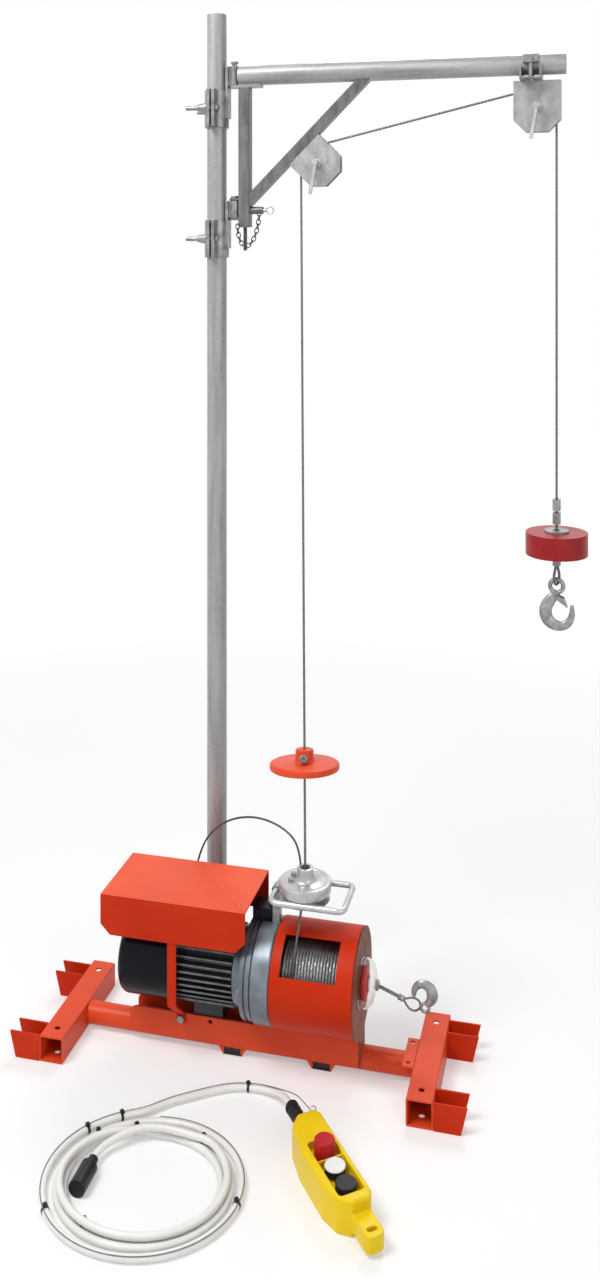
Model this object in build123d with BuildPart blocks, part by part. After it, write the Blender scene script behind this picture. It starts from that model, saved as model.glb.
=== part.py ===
# Construction winch: a ground-frame drum winch that lifts over a swinging jib on a post.
# Millimetres. Origin: centre of the post's foot on the floor. +Z up, +X along jib and drum axis.
import math
import os

from build123d import *

os.makedirs("parts", exist_ok=True)

# Fits and gaps
RUNNING = 0.05  # radial clearance of a shaft or pin in its bore
SEAT = 0.1  # gap between pieces that are bolted or welded together
CLEAR = 0.5  # gap between pieces that move past each other

# Post, base plate and clamps
TUBE_D = 42.4
TUBE_WALL = 3.0
POST_TOP = 2100.0
BASE_SIDE = 150.0
BASE_T = 8.0
ANCHOR_D = 12.0
ANCHOR_SPAN = 110.0
CLAMP_H = 80.0
CLAMP_WALL = 5.0
CLAMP_SPLIT = 4.0
EAR_T = 7.0
EAR_REACH = 47.0
UPPER_CLAMP_Z = 1895.0
LOWER_CLAMP_Z = 1615.0
SWING_BOLT_D = 10.0
SWING_BOLT_REACH = 57.0
CONE_NUT_D = 24.0
CONE_NUT_L = 22.0

# Jib
HINGE_X = 40.0
HINGE_PIN_D = 10.0
SLEEVE_D = 20.0
LUG_T = 6.0
LUG_W = 24.0
FORK_T = 5.0
FORK_W = 22.0
FORK_GAP = 0.5
ARM_Z = 1966.0
ARM_SETBACK = 11.5
ARM_END = 739.0
UPRIGHT_SIDE = 25.0
UPRIGHT_WALL = 2.5
UPRIGHT_FOOT_Z = 1640.0
LOWER_SLEEVE_H = 36.0
BRACE_T = 20.0
BRACE_W = 25.0
BRACE_ANGLE = 45.2
BRACE_FOOT_Z = 1684.5

# Pulleys and their blocks
ROPE_D = 5.0
PULLEY_R = 38.0
PULLEY_RIM = 3.5
PULLEY_W = 14.0
AXLE_D = 12.0
CHEEK_T = 3.0
CHEEK_GAP = 17.0
INNER_PULLEY_X = 226.0
INNER_PULLEY_DROP = 42.8
INNER_CHEEK_L = 90.0
INNER_CHEEK_DEPTH = 90.0
INNER_CHEEK_CUT = 23.0
TIP_PULLEY_X = 682.0
TIP_PULLEY_Z = 1880.0
TIP_CHEEK_L = 95.0
TIP_CHEEK_FOOT = 51.0
TIP_CHEEK_CUT = 25.0
CHANNEL_X = 670.0
CHANNEL_W = 44.0
CHANNEL_HALF = 42.0
CHANNEL_T = 4.0
CHANNEL_Z = 1933.0
CHANNEL_WALL_TOP = 1960.0
STRAP_W = 30.0
STRAP_T = 3.0
STRAP_BOLT_Y = 33.0
STRAP_BOLT_D = 8.0
PIN_REACH = 25.0
PIN_HANDLE_D = 8.0
PIN_HANDLE_DROP = 67.0
PIN_HANDLE_LEAN = 12.0
PIN_BOSS_D = 18.0
PIN_BOSS_T = 5.0

# Locking pin, drop pin and chain at the jib's foot
LOCK_PIN_D = 8.0
LOCK_PIN_Z = 1676.0
LOCK_SLEEVE_D = 16.0
LOCK_SLEEVE_END = 104.0
LOCK_RING_D = 18.0
LOCK_RING_WIRE = 3.0
DROP_PIN_D = 8.0
DROP_PIN_L = 55.0
DROP_TAB_T = 5.0
LINK_L = 14.0
LINK_W = 10.5
LINK_WIRE = 2.2
CHAIN_LINKS = 15
LINK_EDGE = 0.8

# Rope, hook block and stop disc
STRAND_GAP = 5.8
CLIP_TOP_Z = 1086.0
CLIP_H = 22.0
CLIP_PITCH = 27.0
CLIP_W = 16.0
WEIGHT_D = 124.0
WEIGHT_H = 45.0
WEIGHT_Z = 975.0
WEIGHT_BORE = 14.0
WEIGHT_EDGE = 1.0
WASHER_D = 49.0
WASHER_T = 4.0
EYE_D = 35.0
EYE_HOLE = 17.0
EYE_Z = 911.0
HOOK_BOTTOM_Z = 820.0
HOOK_W = 70.0
HOOK_T = 15.0
HOOK_BOWL_R = 17.0
HOOK_BOWL_SHIFT = 7.0
HOOK_BOWL_Z = 38.0
HOOK_POINT_Z = 56.5
LATCH_T = 2.0
LATCH_D = 4.0
STOP_DISC_D = 139.0
STOP_DISC_T = 15.0
STOP_HUB_D = 36.0
STOP_HUB_H = 25.0
STOP_DISC_Z = 567.0
ROPE_LEAVE_X = 104.0
ROPE_SPLIT_Z = 1690.0
ROPE_BEND = 60.0
ROPE_LEAD_IN = 30.0

# Winch place and ground frame
WINCH_X = 126.0
WINCH_Y = -190.0
AXIS_Z = 168.0
BEAM_SIDE = 50.0
BEAM_WALL = 3.0
BEAM_L = 260.0
BEAM_X = 362.5
BEAM_HOLE_D = 12.0
BEAM_HOLE_INSET = 30.0
CRADLE_L = 62.0
CRADLE_T = 4.0
CRADLE_GAP = 34.0
CRADLE_FRONT_Y = -110.0
CRADLE_BACK_Y = 93.0
CRADLE_SLANT = 12.0
SPINE_Z = 25.0
SADDLE_T = 3.5
SADDLE_FOOT = 18.0
SADDLE_TOP = 69.0
SADDLE_LEFT = -240.0
SADDLE_RIGHT = 229.0
FLANGE_L = 21.5
FLANGE_W = 84.0
FLANGE_T = 4.0
FLANGE_HOLE_D = 8.5
FLANGE_HOLE_SPAN = 60.0
FOOT_X = (-25.0, 155.0)
FOOT_L = 62.0
FOOT_W = 44.0
FOOT_SHEET = 3.0
PAD_L = 34.0
PAD_H = 12.0
PLATE_T = 2.0
SADDLE_HOLE_X = -70.0
SADDLE_HOLE_D = 8.0

# Motor
FAN_COVER_R = 77.0
FAN_COVER_LEFT = -250.0
FAN_COVER_T = 2.5
FAN_COVER_ROUND = 16.0
GRILLE_SLOTS = 12
GRILLE_W = 5.0
MOTOR_LEFT = -138.0
MOTOR_RIGHT = -12.0
MOTOR_R = 62.0
MOTOR_WALL = 6.0
FIN_H = 12.0
FIN_T = 3.5
FIN_ROWS = 4
FIN_PITCH = 12.5
MOTOR_FOOT_X = -75.0
MOTOR_FOOT_L = 60.0
SHIELD_R = 71.0
STATOR_T = 16.0
STATOR_L = 80.0
ROTOR_GAP = 0.6
SHAFT_D = 15.0
BEARING_T = 9.0
BEARING_RING = 7.0
FAN_R = 62.0
FAN_L = 30.0
FAN_BLADES = 8
FAN_BLADE_T = 3.0

# Gear train: two spur stages on one centre distance
MODULE = 1.25
PINION_1 = 11
GEAR_1 = 45
PINION_2 = 12
GEAR_2 = 44
STAGE_1_X = 14.0
STAGE_1_W = 12.0
STAGE_2_X = 36.0
STAGE_2_W = 16.0
BACKLASH = 0.4
ADDENDUM = 0.7
PRESSURE_ANGLE = 20.0
LAYSHAFT_D = 11.0

# Gear case, drum and drum cover
FLANGE_RING_X = 8.0
FLANGE_RING_R = 92.0
RING_GROOVE = 4.0
CASE_X = 32.0
CASE_R = 96.0
CASE_WALL = 6.0
CASE_END = 69.0
BOLT_RING_R = 85.0
CASE_BOLT_D = 6.0
CASE_BOLTS = 6
COVER_R = 98.0
COVER_T = 2.5
COVER_RIGHT = 229.0
WINDOW_LEFT = 88.0
WINDOW_RIGHT = 197.0
WINDOW_LOW = 25.0
WINDOW_HIGH = 71.0
END_PLATE_T = 3.0
BARREL_R = 38.0
DRUM_FLANGE_R = 82.0
DRUM_LEFT = 77.0
DRUM_RIGHT = 220.0
DRUM_FLANGE_T = 4.0
WINDING_R = 60.0
WINDING_PITCH = 5.9
DRUM_SHAFT_D = 20.0
DOME_R = 45.0
DOME_DEPTH = 28.0
DOME_T = 2.5

# Roof, control box and limit switch
ROOF_LEFT = -278.0
ROOF_RIGHT = 20.0
ROOF_HALF = 85.0
ROOF_Z = 318.0
ROOF_T = 2.0
SKIRT_H = 78.0
SKIRT_CUT = 20.0
STRAP_X = -130.0
STRAP_BOLT_Z = 60.0
STRAP_BEND_Z = 118.0
ROOF_STRAP_W = 18.0
ROOF_STRAP_T = 3.0
BOX_LEFT = -225.0
BOX_RIGHT = -55.0
BOX_HALF = 70.0
BOX_Z = 248.0
BOX_WALL = 2.5
CONTACTOR_W = 45.0
CONTACTOR_L = 75.0
CONTACTOR_H = 58.0
CAPACITOR_D = 40.0
CAPACITOR_L = 80.0
SWITCH_LEFT = 12.0
SWITCH_RIGHT = 58.0
SWITCH_Z = 266.0
SWITCH_H = 24.0
SWITCH_HALF = 20.0
SWITCH_Y = 14.0
SWITCH_KNOB_D = 16.0
BAIL_D = 12.0
BAIL_RIGHT = 206.0
BAIL_FRONT = -55.0
BAIL_BACK = 45.0
BAIL_Z = 330.0
BAIL_PIVOT_X = 61.0
BAIL_BEND = 14.0
POST_HALF = 9.0
POST_W = 14.0
POST_T = 3.0
GUIDE_X = 120.0
GUIDE_Y = -8.0
GUIDE_D = 102.0
GUIDE_T = 22.0
GUIDE_EDGE = 3.0
GUIDE_NECK_D = 60.0
GUIDE_MOUTH = 38.0
DISH_D = 98.0
DISH_T = 11.0
KINK_UP = 16.0  # the rope bends this far above the disc's underside
GUIDE_HUB_D = 32.0
GUIDE_HUB_TOP = 383.0
GUIDE_BORE = 19.0
LEAD_D = 4.0
LEAD_END_X = -141.0
LEAD_END_Z = 300.0

# Tether with its hook at the drum's end
TETHER_L = 60.0
TETHER_D = 5.0
TETHER_FALL = 20.0  # degrees
TETHER_LOOP_D = 30.0
TETHER_EYE_D = 22.0
TETHER_EYE_T = 6.0
SPARE_AWAY = 94.0
SPARE_DROP = 3.0
SPARE_R = 27.0
SPARE_T = 14.0
SPARE_HOLE_R = 9.5
SPARE_HOLE_SHIFT = 7.0

# Pendant control and its cable
GLAND_X = 256.4
GLAND_Y = -352.2
PENDANT_ANGLE = -51.7
PENDANT_L = 219.0
PENDANT_LEFT = 46.0
PENDANT_RIGHT = 24.0
PENDANT_H = 58.0
BOW_SHOULDER = 0.8
BOW_STARTS = 0.10
BOW_FULL = 0.35
BOW_FALLS = 0.75
BOW_ENDS = 0.92
SIDE_BEVEL = 0.06
PENDANT_WALL = 3.0
TAIL_L = 52.0
TAIL_W = 34.0
TAIL_H = 28.0
TAIL_Z = 8.0
TAIL_SLOT_L = 18.0
TAIL_SLOT_W = 8.0
GLAND_L = 67.0
GLAND_D = 24.0
GLAND_Z = 24.0
GLAND_RIBS = 4
POCKET_DEPTH = 16.0
ESTOP_D = 36.0
ESTOP_H = 28.0
ESTOP_SHARE = 0.434
BUTTON_H = 12.0
BUTTON_SPACE = 5.0
BUTTON_Y = -8.0
BRIDGE_T = 3.0
STEM_D = 14.0
STEM_GAP = 0.4
BUTTON_D = 36.0
BUTTON_TRAVEL = 4.0
CABLE_D = 12.5
COIL_X = 58.0
COIL_Y = -568.0
COIL_OUT = 187.0
COIL_IN = 130.0
COIL_H = 28.0
PLUG_D = 30.0
PLUG_L = 52.0

# Places that follow from the sizes above
tube_r = TUBE_D / 2
rope_r = ROPE_D / 2
lower_clamp_top = LOWER_CLAMP_Z + CLAMP_H / 2
arm_start = HINGE_X + ARM_SETBACK
upright_far = arm_start + UPRIGHT_SIDE
foot_fork_z = lower_clamp_top + FORK_GAP
lower_sleeve_z = foot_fork_z + FORK_T + FORK_GAP
head_fork_z = lower_sleeve_z + LOWER_SLEEVE_H + FORK_GAP
arm_fork_low = ARM_Z - tube_r - FORK_T
brace_slope = math.tan(math.radians(BRACE_ANGLE))
brace_cos = math.cos(math.radians(BRACE_ANGLE))
brace_sin = math.sin(math.radians(BRACE_ANGLE))
brace_under_z = BRACE_FOOT_Z + (INNER_PULLEY_X - upright_far) * brace_slope
inner_pulley_z = brace_under_z - INNER_PULLEY_DROP / brace_cos
flange_r = PULLEY_R + PULLEY_RIM
cheek_out = CHEEK_GAP / 2 + CHEEK_T
fall_x = TIP_PULLEY_X + PULLEY_R
rise_x = INNER_PULLEY_X - PULLEY_R
run_angle = math.atan2(TIP_PULLEY_Z - inner_pulley_z, TIP_PULLEY_X - INNER_PULLEY_X)
hook_y = STRAND_GAP / 2
gear_distance = MODULE * (PINION_1 + GEAR_1) / 2


def side_plane(y=0.0):
    """Upright plane seen from the front: sketch x is X, sketch y is Z, out towards the viewer."""
    return Plane(origin=(0, y, 0), x_dir=(1, 0, 0), z_dir=(0, -1, 0))


def winch_side(y=0.0, z=0.0):
    """Upright plane through the winch, at a depth from its middle, with sketch x from its centre."""
    return Plane(origin=(WINCH_X, WINCH_Y + y, z), x_dir=(1, 0, 0), z_dir=(0, -1, 0))


def winch_across(x, z=0.0):
    """Plane across the winch's length: sketch x is the winch's Y, sketch y is Z."""
    return Plane(origin=(WINCH_X + x, WINCH_Y, z), x_dir=(0, 1, 0), z_dir=(1, 0, 0))


def winch_top(z):
    """Level plane over the winch's centre."""
    return Plane(origin=(WINCH_X, WINCH_Y, z))


WINCH_AXIS = Axis((WINCH_X, WINCH_Y, AXIS_Z), (1, 0, 0))

# Post: a plain tube welded on a square base plate
with BuildPart() as post:
    with BuildSketch():
        RectangleRounded(BASE_SIDE, BASE_SIDE, ANCHOR_D / 2)
        with GridLocations(ANCHOR_SPAN, ANCHOR_SPAN, 2, 2):
            Circle(ANCHOR_D / 2, mode=Mode.SUBTRACT)
    extrude(amount=BASE_T)
    with BuildSketch(Plane.XY.offset(BASE_T)):
        Circle(tube_r)
        Circle(tube_r - TUBE_WALL, mode=Mode.SUBTRACT)
    extrude(amount=POST_TOP - BASE_T)
post.part.label = "post"


# Clamps: split rings round the post. The body half carries the hinge sleeve on a lug.
clamp_in = tube_r + SEAT
clamp_out = clamp_in + CLAMP_WALL
ear_mid = (clamp_out + EAR_REACH) / 2
lug_face = HINGE_X - FORK_W / 2 - CLEAR
upper_sleeve_low = ARM_Z - tube_r + FORK_GAP
upper_sleeve_h = TUBE_D - 2 * FORK_GAP
hinge_sleeves = (
    (UPPER_CLAMP_Z, upper_sleeve_low, upper_sleeve_h),
    (LOWER_CLAMP_Z, lower_sleeve_z, LOWER_SLEEVE_H),
)


def half_ring(side):
    """Outline of one clamp half with its two ears, on the +X or -X side of the post."""
    with BuildSketch(mode=Mode.PRIVATE) as outline:
        Circle(clamp_out)
        ear_x = side * (CLAMP_SPLIT + EAR_T) / 2
        with Locations((ear_x, 0)):
            Rectangle(EAR_T, 2 * EAR_REACH)
        Circle(clamp_in, mode=Mode.SUBTRACT)
        with Locations((side * (CLAMP_SPLIT / 2 - EAR_REACH), 0)):
            Rectangle(2 * EAR_REACH, 2 * EAR_REACH + CLEAR, mode=Mode.SUBTRACT)
    return outline.sketch


with BuildPart() as post_clamps:
    for clamp_z, sleeve_z, sleeve_h in hinge_sleeves:
        with BuildSketch(Plane.XY.offset(clamp_z - CLAMP_H / 2)):
            add(half_ring(1))
        extrude(amount=CLAMP_H)
        lug_low = clamp_z - CLAMP_H / 4
        with BuildSketch(Plane.XY.offset(lug_low)):
            with Locations((lug_face - LUG_T / 2, 0)):
                Rectangle(LUG_T, LUG_W)
        extrude(amount=sleeve_z + sleeve_h - lug_low)
        with BuildSketch(Plane.XY.offset(sleeve_z)):
            with Locations((HINGE_X, 0)):
                Circle(SLEEVE_D / 2)
            with Locations(((HINGE_X + lug_face - LUG_T / 2) / 2, 0)):
                Rectangle(HINGE_X - lug_face + LUG_T / 2, SLEEVE_D * 0.7)
        extrude(amount=sleeve_h)
        with BuildSketch(Plane.XY.offset(sleeve_z)):
            with Locations((HINGE_X, 0)):
                Circle(HINGE_PIN_D / 2 + RUNNING)
        extrude(amount=sleeve_h, mode=Mode.SUBTRACT)
        with BuildSketch(Plane.XY.offset(clamp_z - CLAMP_H / 2)):
            add(half_ring(-1))
        extrude(amount=CLAMP_H)
        bolt_row = Plane(origin=(-EAR_REACH, 0, clamp_z), x_dir=(0, 1, 0), z_dir=(1, 0, 0))
        with BuildSketch(bolt_row):
            with Locations((-ear_mid, 0), (ear_mid, 0)):
                Circle(SWING_BOLT_D / 2 + SEAT)
        extrude(amount=2 * EAR_REACH, mode=Mode.SUBTRACT)
post_clamps.part.label = "post_clamps"


# Jib arm: tube with two fork plates that straddle the upper hinge sleeve
fork_tail = upright_far + UPRIGHT_SIDE
arm_axis_plane = Plane(origin=(arm_start, 0, ARM_Z), x_dir=(0, 1, 0), z_dir=(1, 0, 0))


def fork_outline(tail_x):
    """Plan of a fork plate: round at the hinge, straight back to tail_x, bored for the hinge pin."""
    with BuildSketch(mode=Mode.PRIVATE) as outline:
        with Locations((HINGE_X, 0)):
            Circle(FORK_W / 2)
        with Locations(((HINGE_X + tail_x) / 2, 0)):
            Rectangle(tail_x - HINGE_X, FORK_W)
        with Locations((HINGE_X, 0)):
            Circle(HINGE_PIN_D / 2, mode=Mode.SUBTRACT)
    return outline.sketch


with BuildPart() as jib_arm:
    with BuildSketch(arm_axis_plane):
        Circle(tube_r)
    extrude(amount=ARM_END - arm_start)
    for plate_low, weld_low in (
        (ARM_Z + tube_r, ARM_Z + tube_r - TUBE_WALL),
        (arm_fork_low, ARM_Z - tube_r),
    ):
        with BuildSketch(Plane.XY.offset(plate_low)):
            add(fork_outline(fork_tail))
        extrude(amount=FORK_T)
        with BuildSketch(Plane.XY.offset(weld_low)):
            with Locations(((arm_start + fork_tail) / 2, 0)):
                Rectangle(fork_tail - arm_start, FORK_W)
        extrude(amount=TUBE_WALL)
    with BuildSketch(arm_axis_plane):
        Circle(tube_r - TUBE_WALL)
    extrude(amount=ARM_END - arm_start, mode=Mode.SUBTRACT)
jib_arm.part.label = "jib_arm"

# Jib upright: square tube with the lower fork, the lock pin's sleeve and two chain staples
upright_top = arm_fork_low - SEAT
upright_mid = arm_start + UPRIGHT_SIDE / 2
staple_d = LINK_WIRE
staple_reach = UPRIGHT_SIDE / 2 + LINK_W
lock_plane = Plane(origin=(arm_start, 0, LOCK_PIN_Z), x_dir=(0, 1, 0), z_dir=(1, 0, 0))
lock_staple = (LOCK_SLEEVE_END - staple_d, LOCK_PIN_Z - LOCK_SLEEVE_D / 4)
foot_staple = (arm_start + staple_d, UPRIGHT_FOOT_Z + 2 * staple_d)
with BuildPart() as jib_upright:
    with BuildSketch(Plane.XY.offset(UPRIGHT_FOOT_Z)):
        with Locations((upright_mid, 0)):
            RectangleRounded(UPRIGHT_SIDE, UPRIGHT_SIDE, UPRIGHT_WALL)
    extrude(amount=upright_top - UPRIGHT_FOOT_Z)
    with BuildSketch(Plane.XY.offset(UPRIGHT_FOOT_Z + DROP_TAB_T)):
        with Locations((upright_mid, 0)):
            Rectangle(UPRIGHT_SIDE - 2 * UPRIGHT_WALL, UPRIGHT_SIDE - 2 * UPRIGHT_WALL)
    extrude(amount=upright_top - UPRIGHT_FOOT_Z, mode=Mode.SUBTRACT)
    with BuildSketch(Plane.XY.offset(UPRIGHT_FOOT_Z)):
        with Locations((upright_mid, 0)):
            Circle(DROP_PIN_D / 2 + SEAT)
    extrude(amount=DROP_TAB_T, mode=Mode.SUBTRACT)
    for plate_low in (foot_fork_z, head_fork_z):
        with BuildSketch(Plane.XY.offset(plate_low)):
            add(fork_outline(arm_start + UPRIGHT_WALL))
        extrude(amount=FORK_T)
    with BuildSketch(lock_plane):
        Circle(LOCK_SLEEVE_D / 2)
    extrude(amount=LOCK_SLEEVE_END - arm_start)
    with BuildSketch(Plane.XY.offset(LOCK_PIN_Z - LOCK_SLEEVE_D / 2)):
        with Locations((upright_mid, 0)):
            Rectangle(UPRIGHT_SIDE - 2 * UPRIGHT_WALL, UPRIGHT_SIDE - 2 * UPRIGHT_WALL)
    extrude(amount=LOCK_SLEEVE_D, mode=Mode.SUBTRACT)
    with BuildSketch(lock_plane):
        Circle(LOCK_PIN_D / 2 + RUNNING)
    extrude(amount=LOCK_SLEEVE_END - arm_start, mode=Mode.SUBTRACT)
    for staple_x, staple_z, root_y in (
        (*lock_staple, LOCK_PIN_D / 2 + 1.5),
        (*foot_staple, UPRIGHT_SIDE / 2 - 1.5),
    ):
        with BuildSketch(side_plane(-root_y)):
            with Locations((staple_x, staple_z)):
                Circle(staple_d / 2)
        extrude(amount=staple_reach + LINK_WIRE - root_y)
jib_upright.part.label = "jib_upright"

# Hinge pins, driven into the forks and turning in the clamp sleeves
pin_head = FORK_T
with BuildPart() as hinge_pins:
    for pin_low, pin_high in (
        (arm_fork_low, ARM_Z + tube_r + FORK_T),
        (foot_fork_z, head_fork_z + FORK_T),
    ):
        with BuildSketch(Plane.XY.offset(pin_low)):
            with Locations((HINGE_X, 0)):
                Circle(HINGE_PIN_D / 2)
        extrude(amount=pin_high - pin_low)
        with BuildSketch(Plane.XY.offset(pin_high)):
            with Locations((HINGE_X, 0)):
                RegularPolygon(HINGE_PIN_D * 0.85, 6)
        extrude(amount=pin_head)
hinge_pins.part.label = "hinge_pins"

# Jib brace: bar from the upright's foot to the arm, coped round the arm tube
brace_rise = ARM_Z - BRACE_FOOT_Z
brace_drop = BRACE_T / brace_cos
with BuildPart() as jib_brace:
    with BuildSketch(side_plane()):
        with BuildLine():
            Polyline(
                (upright_far + SEAT, BRACE_FOOT_Z),
                (upright_far + brace_rise / brace_slope, ARM_Z),
                (upright_far + (brace_rise - brace_drop) / brace_slope, ARM_Z),
                (upright_far + SEAT, BRACE_FOOT_Z + brace_drop),
                close=True,
            )
        make_face()
    extrude(amount=BRACE_W / 2, both=True)
    with BuildSketch(arm_axis_plane):
        Circle(tube_r + SEAT)
    extrude(amount=ARM_END - arm_start, mode=Mode.SUBTRACT)
    with BuildSketch(Plane.XY.offset(arm_fork_low - SEAT)):
        with Locations(((arm_start + fork_tail) / 2, 0)):
            Rectangle(fork_tail - arm_start + 2 * SEAT, FORK_W + 2 * SEAT)
    extrude(amount=ARM_Z - arm_fork_low, mode=Mode.SUBTRACT)
jib_brace.part.label = "jib_brace"

# Pulley blocks: pairs of cheek plates, one under the brace and one under the arm's tip
inner_plane = Plane(
    origin=(INNER_PULLEY_X, 0, inner_pulley_z), x_dir=(brace_cos, 0, brace_sin), z_dir=(0, -1, 0)
)
tip_plane = Plane(origin=(TIP_PULLEY_X, 0, TIP_PULLEY_Z), x_dir=(1, 0, 0), z_dir=(0, -1, 0))


def cheek_outline(length, top, foot, cut):
    """Cheek plate round a pulley axle: square at the top edge, corners cut off at the foot."""
    half = length / 2
    with BuildSketch(mode=Mode.PRIVATE) as outline:
        with BuildLine():
            Polyline(
                (-half, top),
                (-half, cut - foot),
                (cut - half, -foot),
                (half - cut, -foot),
                (half, cut - foot),
                (half, top),
                close=True,
            )
        make_face()
        Circle(AXLE_D / 2 + RUNNING, mode=Mode.SUBTRACT)
    return outline.sketch


with BuildPart() as pulley_blocks:
    for inner_face in (CHEEK_GAP / 2, -cheek_out):
        with BuildSketch(inner_plane.offset(inner_face)):
            add(
                cheek_outline(
                    INNER_CHEEK_L,
                    INNER_PULLEY_DROP - SEAT,
                    INNER_CHEEK_DEPTH - INNER_PULLEY_DROP,
                    INNER_CHEEK_CUT,
                )
            )
        extrude(amount=CHEEK_T)
    for inner_face in (CHEEK_GAP / 2, -cheek_out):
        with BuildSketch(tip_plane.offset(inner_face)):
            add(
                cheek_outline(
                    TIP_CHEEK_L,
                    CHANNEL_Z - TIP_PULLEY_Z - SEAT,
                    TIP_CHEEK_FOOT,
                    TIP_CHEEK_CUT,
                )
            )
        extrude(amount=CHEEK_T)
pulley_blocks.part.label = "pulley_blocks"

# Tip clamp: channel across the arm, a strap over it and two bolts
channel_plane = Plane(origin=(CHANNEL_X, 0, ARM_Z), x_dir=(0, 1, 0), z_dir=(1, 0, 0))
strap_in = tube_r + SEAT
strap_out = strap_in + STRAP_T
with BuildPart() as tip_clamp:
    with BuildSketch(side_plane(CHANNEL_HALF)):
        with Locations((CHANNEL_X, (CHANNEL_Z + CHANNEL_WALL_TOP) / 2)):
            Rectangle(CHANNEL_W, CHANNEL_WALL_TOP - CHANNEL_Z)
        with Locations((CHANNEL_X, (CHANNEL_Z + CHANNEL_WALL_TOP) / 2 + CHANNEL_T)):
            Rectangle(
                CHANNEL_W - 2 * CHANNEL_T, CHANNEL_WALL_TOP - CHANNEL_Z, mode=Mode.SUBTRACT
            )
    extrude(amount=2 * CHANNEL_HALF)
    with BuildSketch(channel_plane):
        Circle(tube_r + SEAT)
    extrude(amount=CHANNEL_W, both=True, mode=Mode.SUBTRACT)
    with BuildSketch(Plane.XY.offset(CHANNEL_Z)):
        with Locations((CHANNEL_X, -STRAP_BOLT_Y), (CHANNEL_X, STRAP_BOLT_Y)):
            Circle(STRAP_BOLT_D / 2 + SEAT)
    extrude(amount=CHANNEL_T, mode=Mode.SUBTRACT)
    with BuildSketch(channel_plane):
        Circle(strap_out)
        with Locations((0, STRAP_T / 2)):
            Rectangle(2 * CHANNEL_HALF, STRAP_T)
        Circle(strap_in, mode=Mode.SUBTRACT)
        with Locations((0, -strap_out)):
            Rectangle(2 * CHANNEL_HALF, 2 * strap_out, mode=Mode.SUBTRACT)
    extrude(amount=STRAP_W / 2, both=True)
    with BuildSketch(Plane.XY.offset(ARM_Z)):
        with Locations((CHANNEL_X, -STRAP_BOLT_Y), (CHANNEL_X, STRAP_BOLT_Y)):
            Circle(STRAP_BOLT_D / 2 + SEAT)
    extrude(amount=STRAP_T, mode=Mode.SUBTRACT)
    bolt_low = CHANNEL_Z - STRAP_BOLT_D
    bolt_high = ARM_Z + STRAP_T + SEAT
    for bolt_y in (-STRAP_BOLT_Y, STRAP_BOLT_Y):
        with BuildSketch(Plane.XY.offset(bolt_low)):
            with Locations((CHANNEL_X, bolt_y)):
                Circle(STRAP_BOLT_D / 2)
        extrude(amount=bolt_high - bolt_low)
        for nut_low in (bolt_high, CHANNEL_Z - SEAT - STRAP_BOLT_D * 0.65):
            with BuildSketch(Plane.XY.offset(nut_low)):
                with Locations((CHANNEL_X, bolt_y)):
                    RegularPolygon(STRAP_BOLT_D * 0.85, 6)
            extrude(amount=STRAP_BOLT_D * 0.65)
tip_clamp.part.label = "tip_clamp"



# Pulleys: grooved wheels that run on the L-shaped axle pins
def pulley_profile():
    """Half section of a pulley: sketch x is the radius, sketch y runs along the axle."""
    half = PULLEY_W / 2
    throat = rope_r + CLEAR
    mouth = throat + PULLEY_RIM / 2
    with BuildSketch(mode=Mode.PRIVATE) as outline:
        with BuildLine():
            Line((PULLEY_R, throat), (flange_r, mouth))
            Line((flange_r, mouth), (flange_r, half))
            Line((flange_r, half), (AXLE_D / 2 + RUNNING, half))
            Line((AXLE_D / 2 + RUNNING, half), (AXLE_D / 2 + RUNNING, -half))
            Line((AXLE_D / 2 + RUNNING, -half), (flange_r, -half))
            Line((flange_r, -half), (flange_r, -mouth))
            Line((flange_r, -mouth), (PULLEY_R, -throat))
            ThreePointArc((PULLEY_R, -throat), (PULLEY_R - throat, 0), (PULLEY_R, throat))
        make_face()
    return outline.sketch


def pulley_plane(x, z):
    """Plane that holds the axle: sketch x is X from the axle, sketch y is Y."""
    return Plane(origin=(x, 0, z), x_dir=(1, 0, 0), z_dir=(0, 0, 1))


with BuildPart() as pulley_inner:
    with BuildSketch(pulley_plane(INNER_PULLEY_X, inner_pulley_z)):
        add(pulley_profile())
    revolve(axis=Axis((INNER_PULLEY_X, 0, inner_pulley_z), (0, 1, 0)))
pulley_inner.part.label = "pulley_inner"

with BuildPart() as pulley_tip:
    with BuildSketch(pulley_plane(TIP_PULLEY_X, TIP_PULLEY_Z)):
        add(pulley_profile())
    revolve(axis=Axis((TIP_PULLEY_X, 0, TIP_PULLEY_Z), (0, 1, 0)))
pulley_tip.part.label = "pulley_tip"

# Axle pins: straight through both cheeks, bent down in front as a handle
pin_front = cheek_out + PIN_REACH
with BuildPart() as axle_pin_inner:
    with BuildSketch(inner_plane.offset(-cheek_out - SEAT)):
        Circle(AXLE_D / 2)
    extrude(amount=pin_front + cheek_out + SEAT)
    for boss_face in (cheek_out + SEAT, -cheek_out - SEAT - PIN_BOSS_T):
        with BuildSketch(inner_plane.offset(boss_face)):
            Circle(PIN_BOSS_D / 2)
        extrude(amount=PIN_BOSS_T)
    handle_plane = Plane(
        origin=(INNER_PULLEY_X, PIN_HANDLE_D - pin_front, inner_pulley_z),
        z_dir=(-PIN_HANDLE_LEAN, 0, -PIN_HANDLE_DROP),
    )
    with BuildSketch(handle_plane):
        Circle(PIN_HANDLE_D / 2)
    extrude(amount=PIN_HANDLE_DROP)
axle_pin_inner.part.label = "axle_pin_inner"

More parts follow.
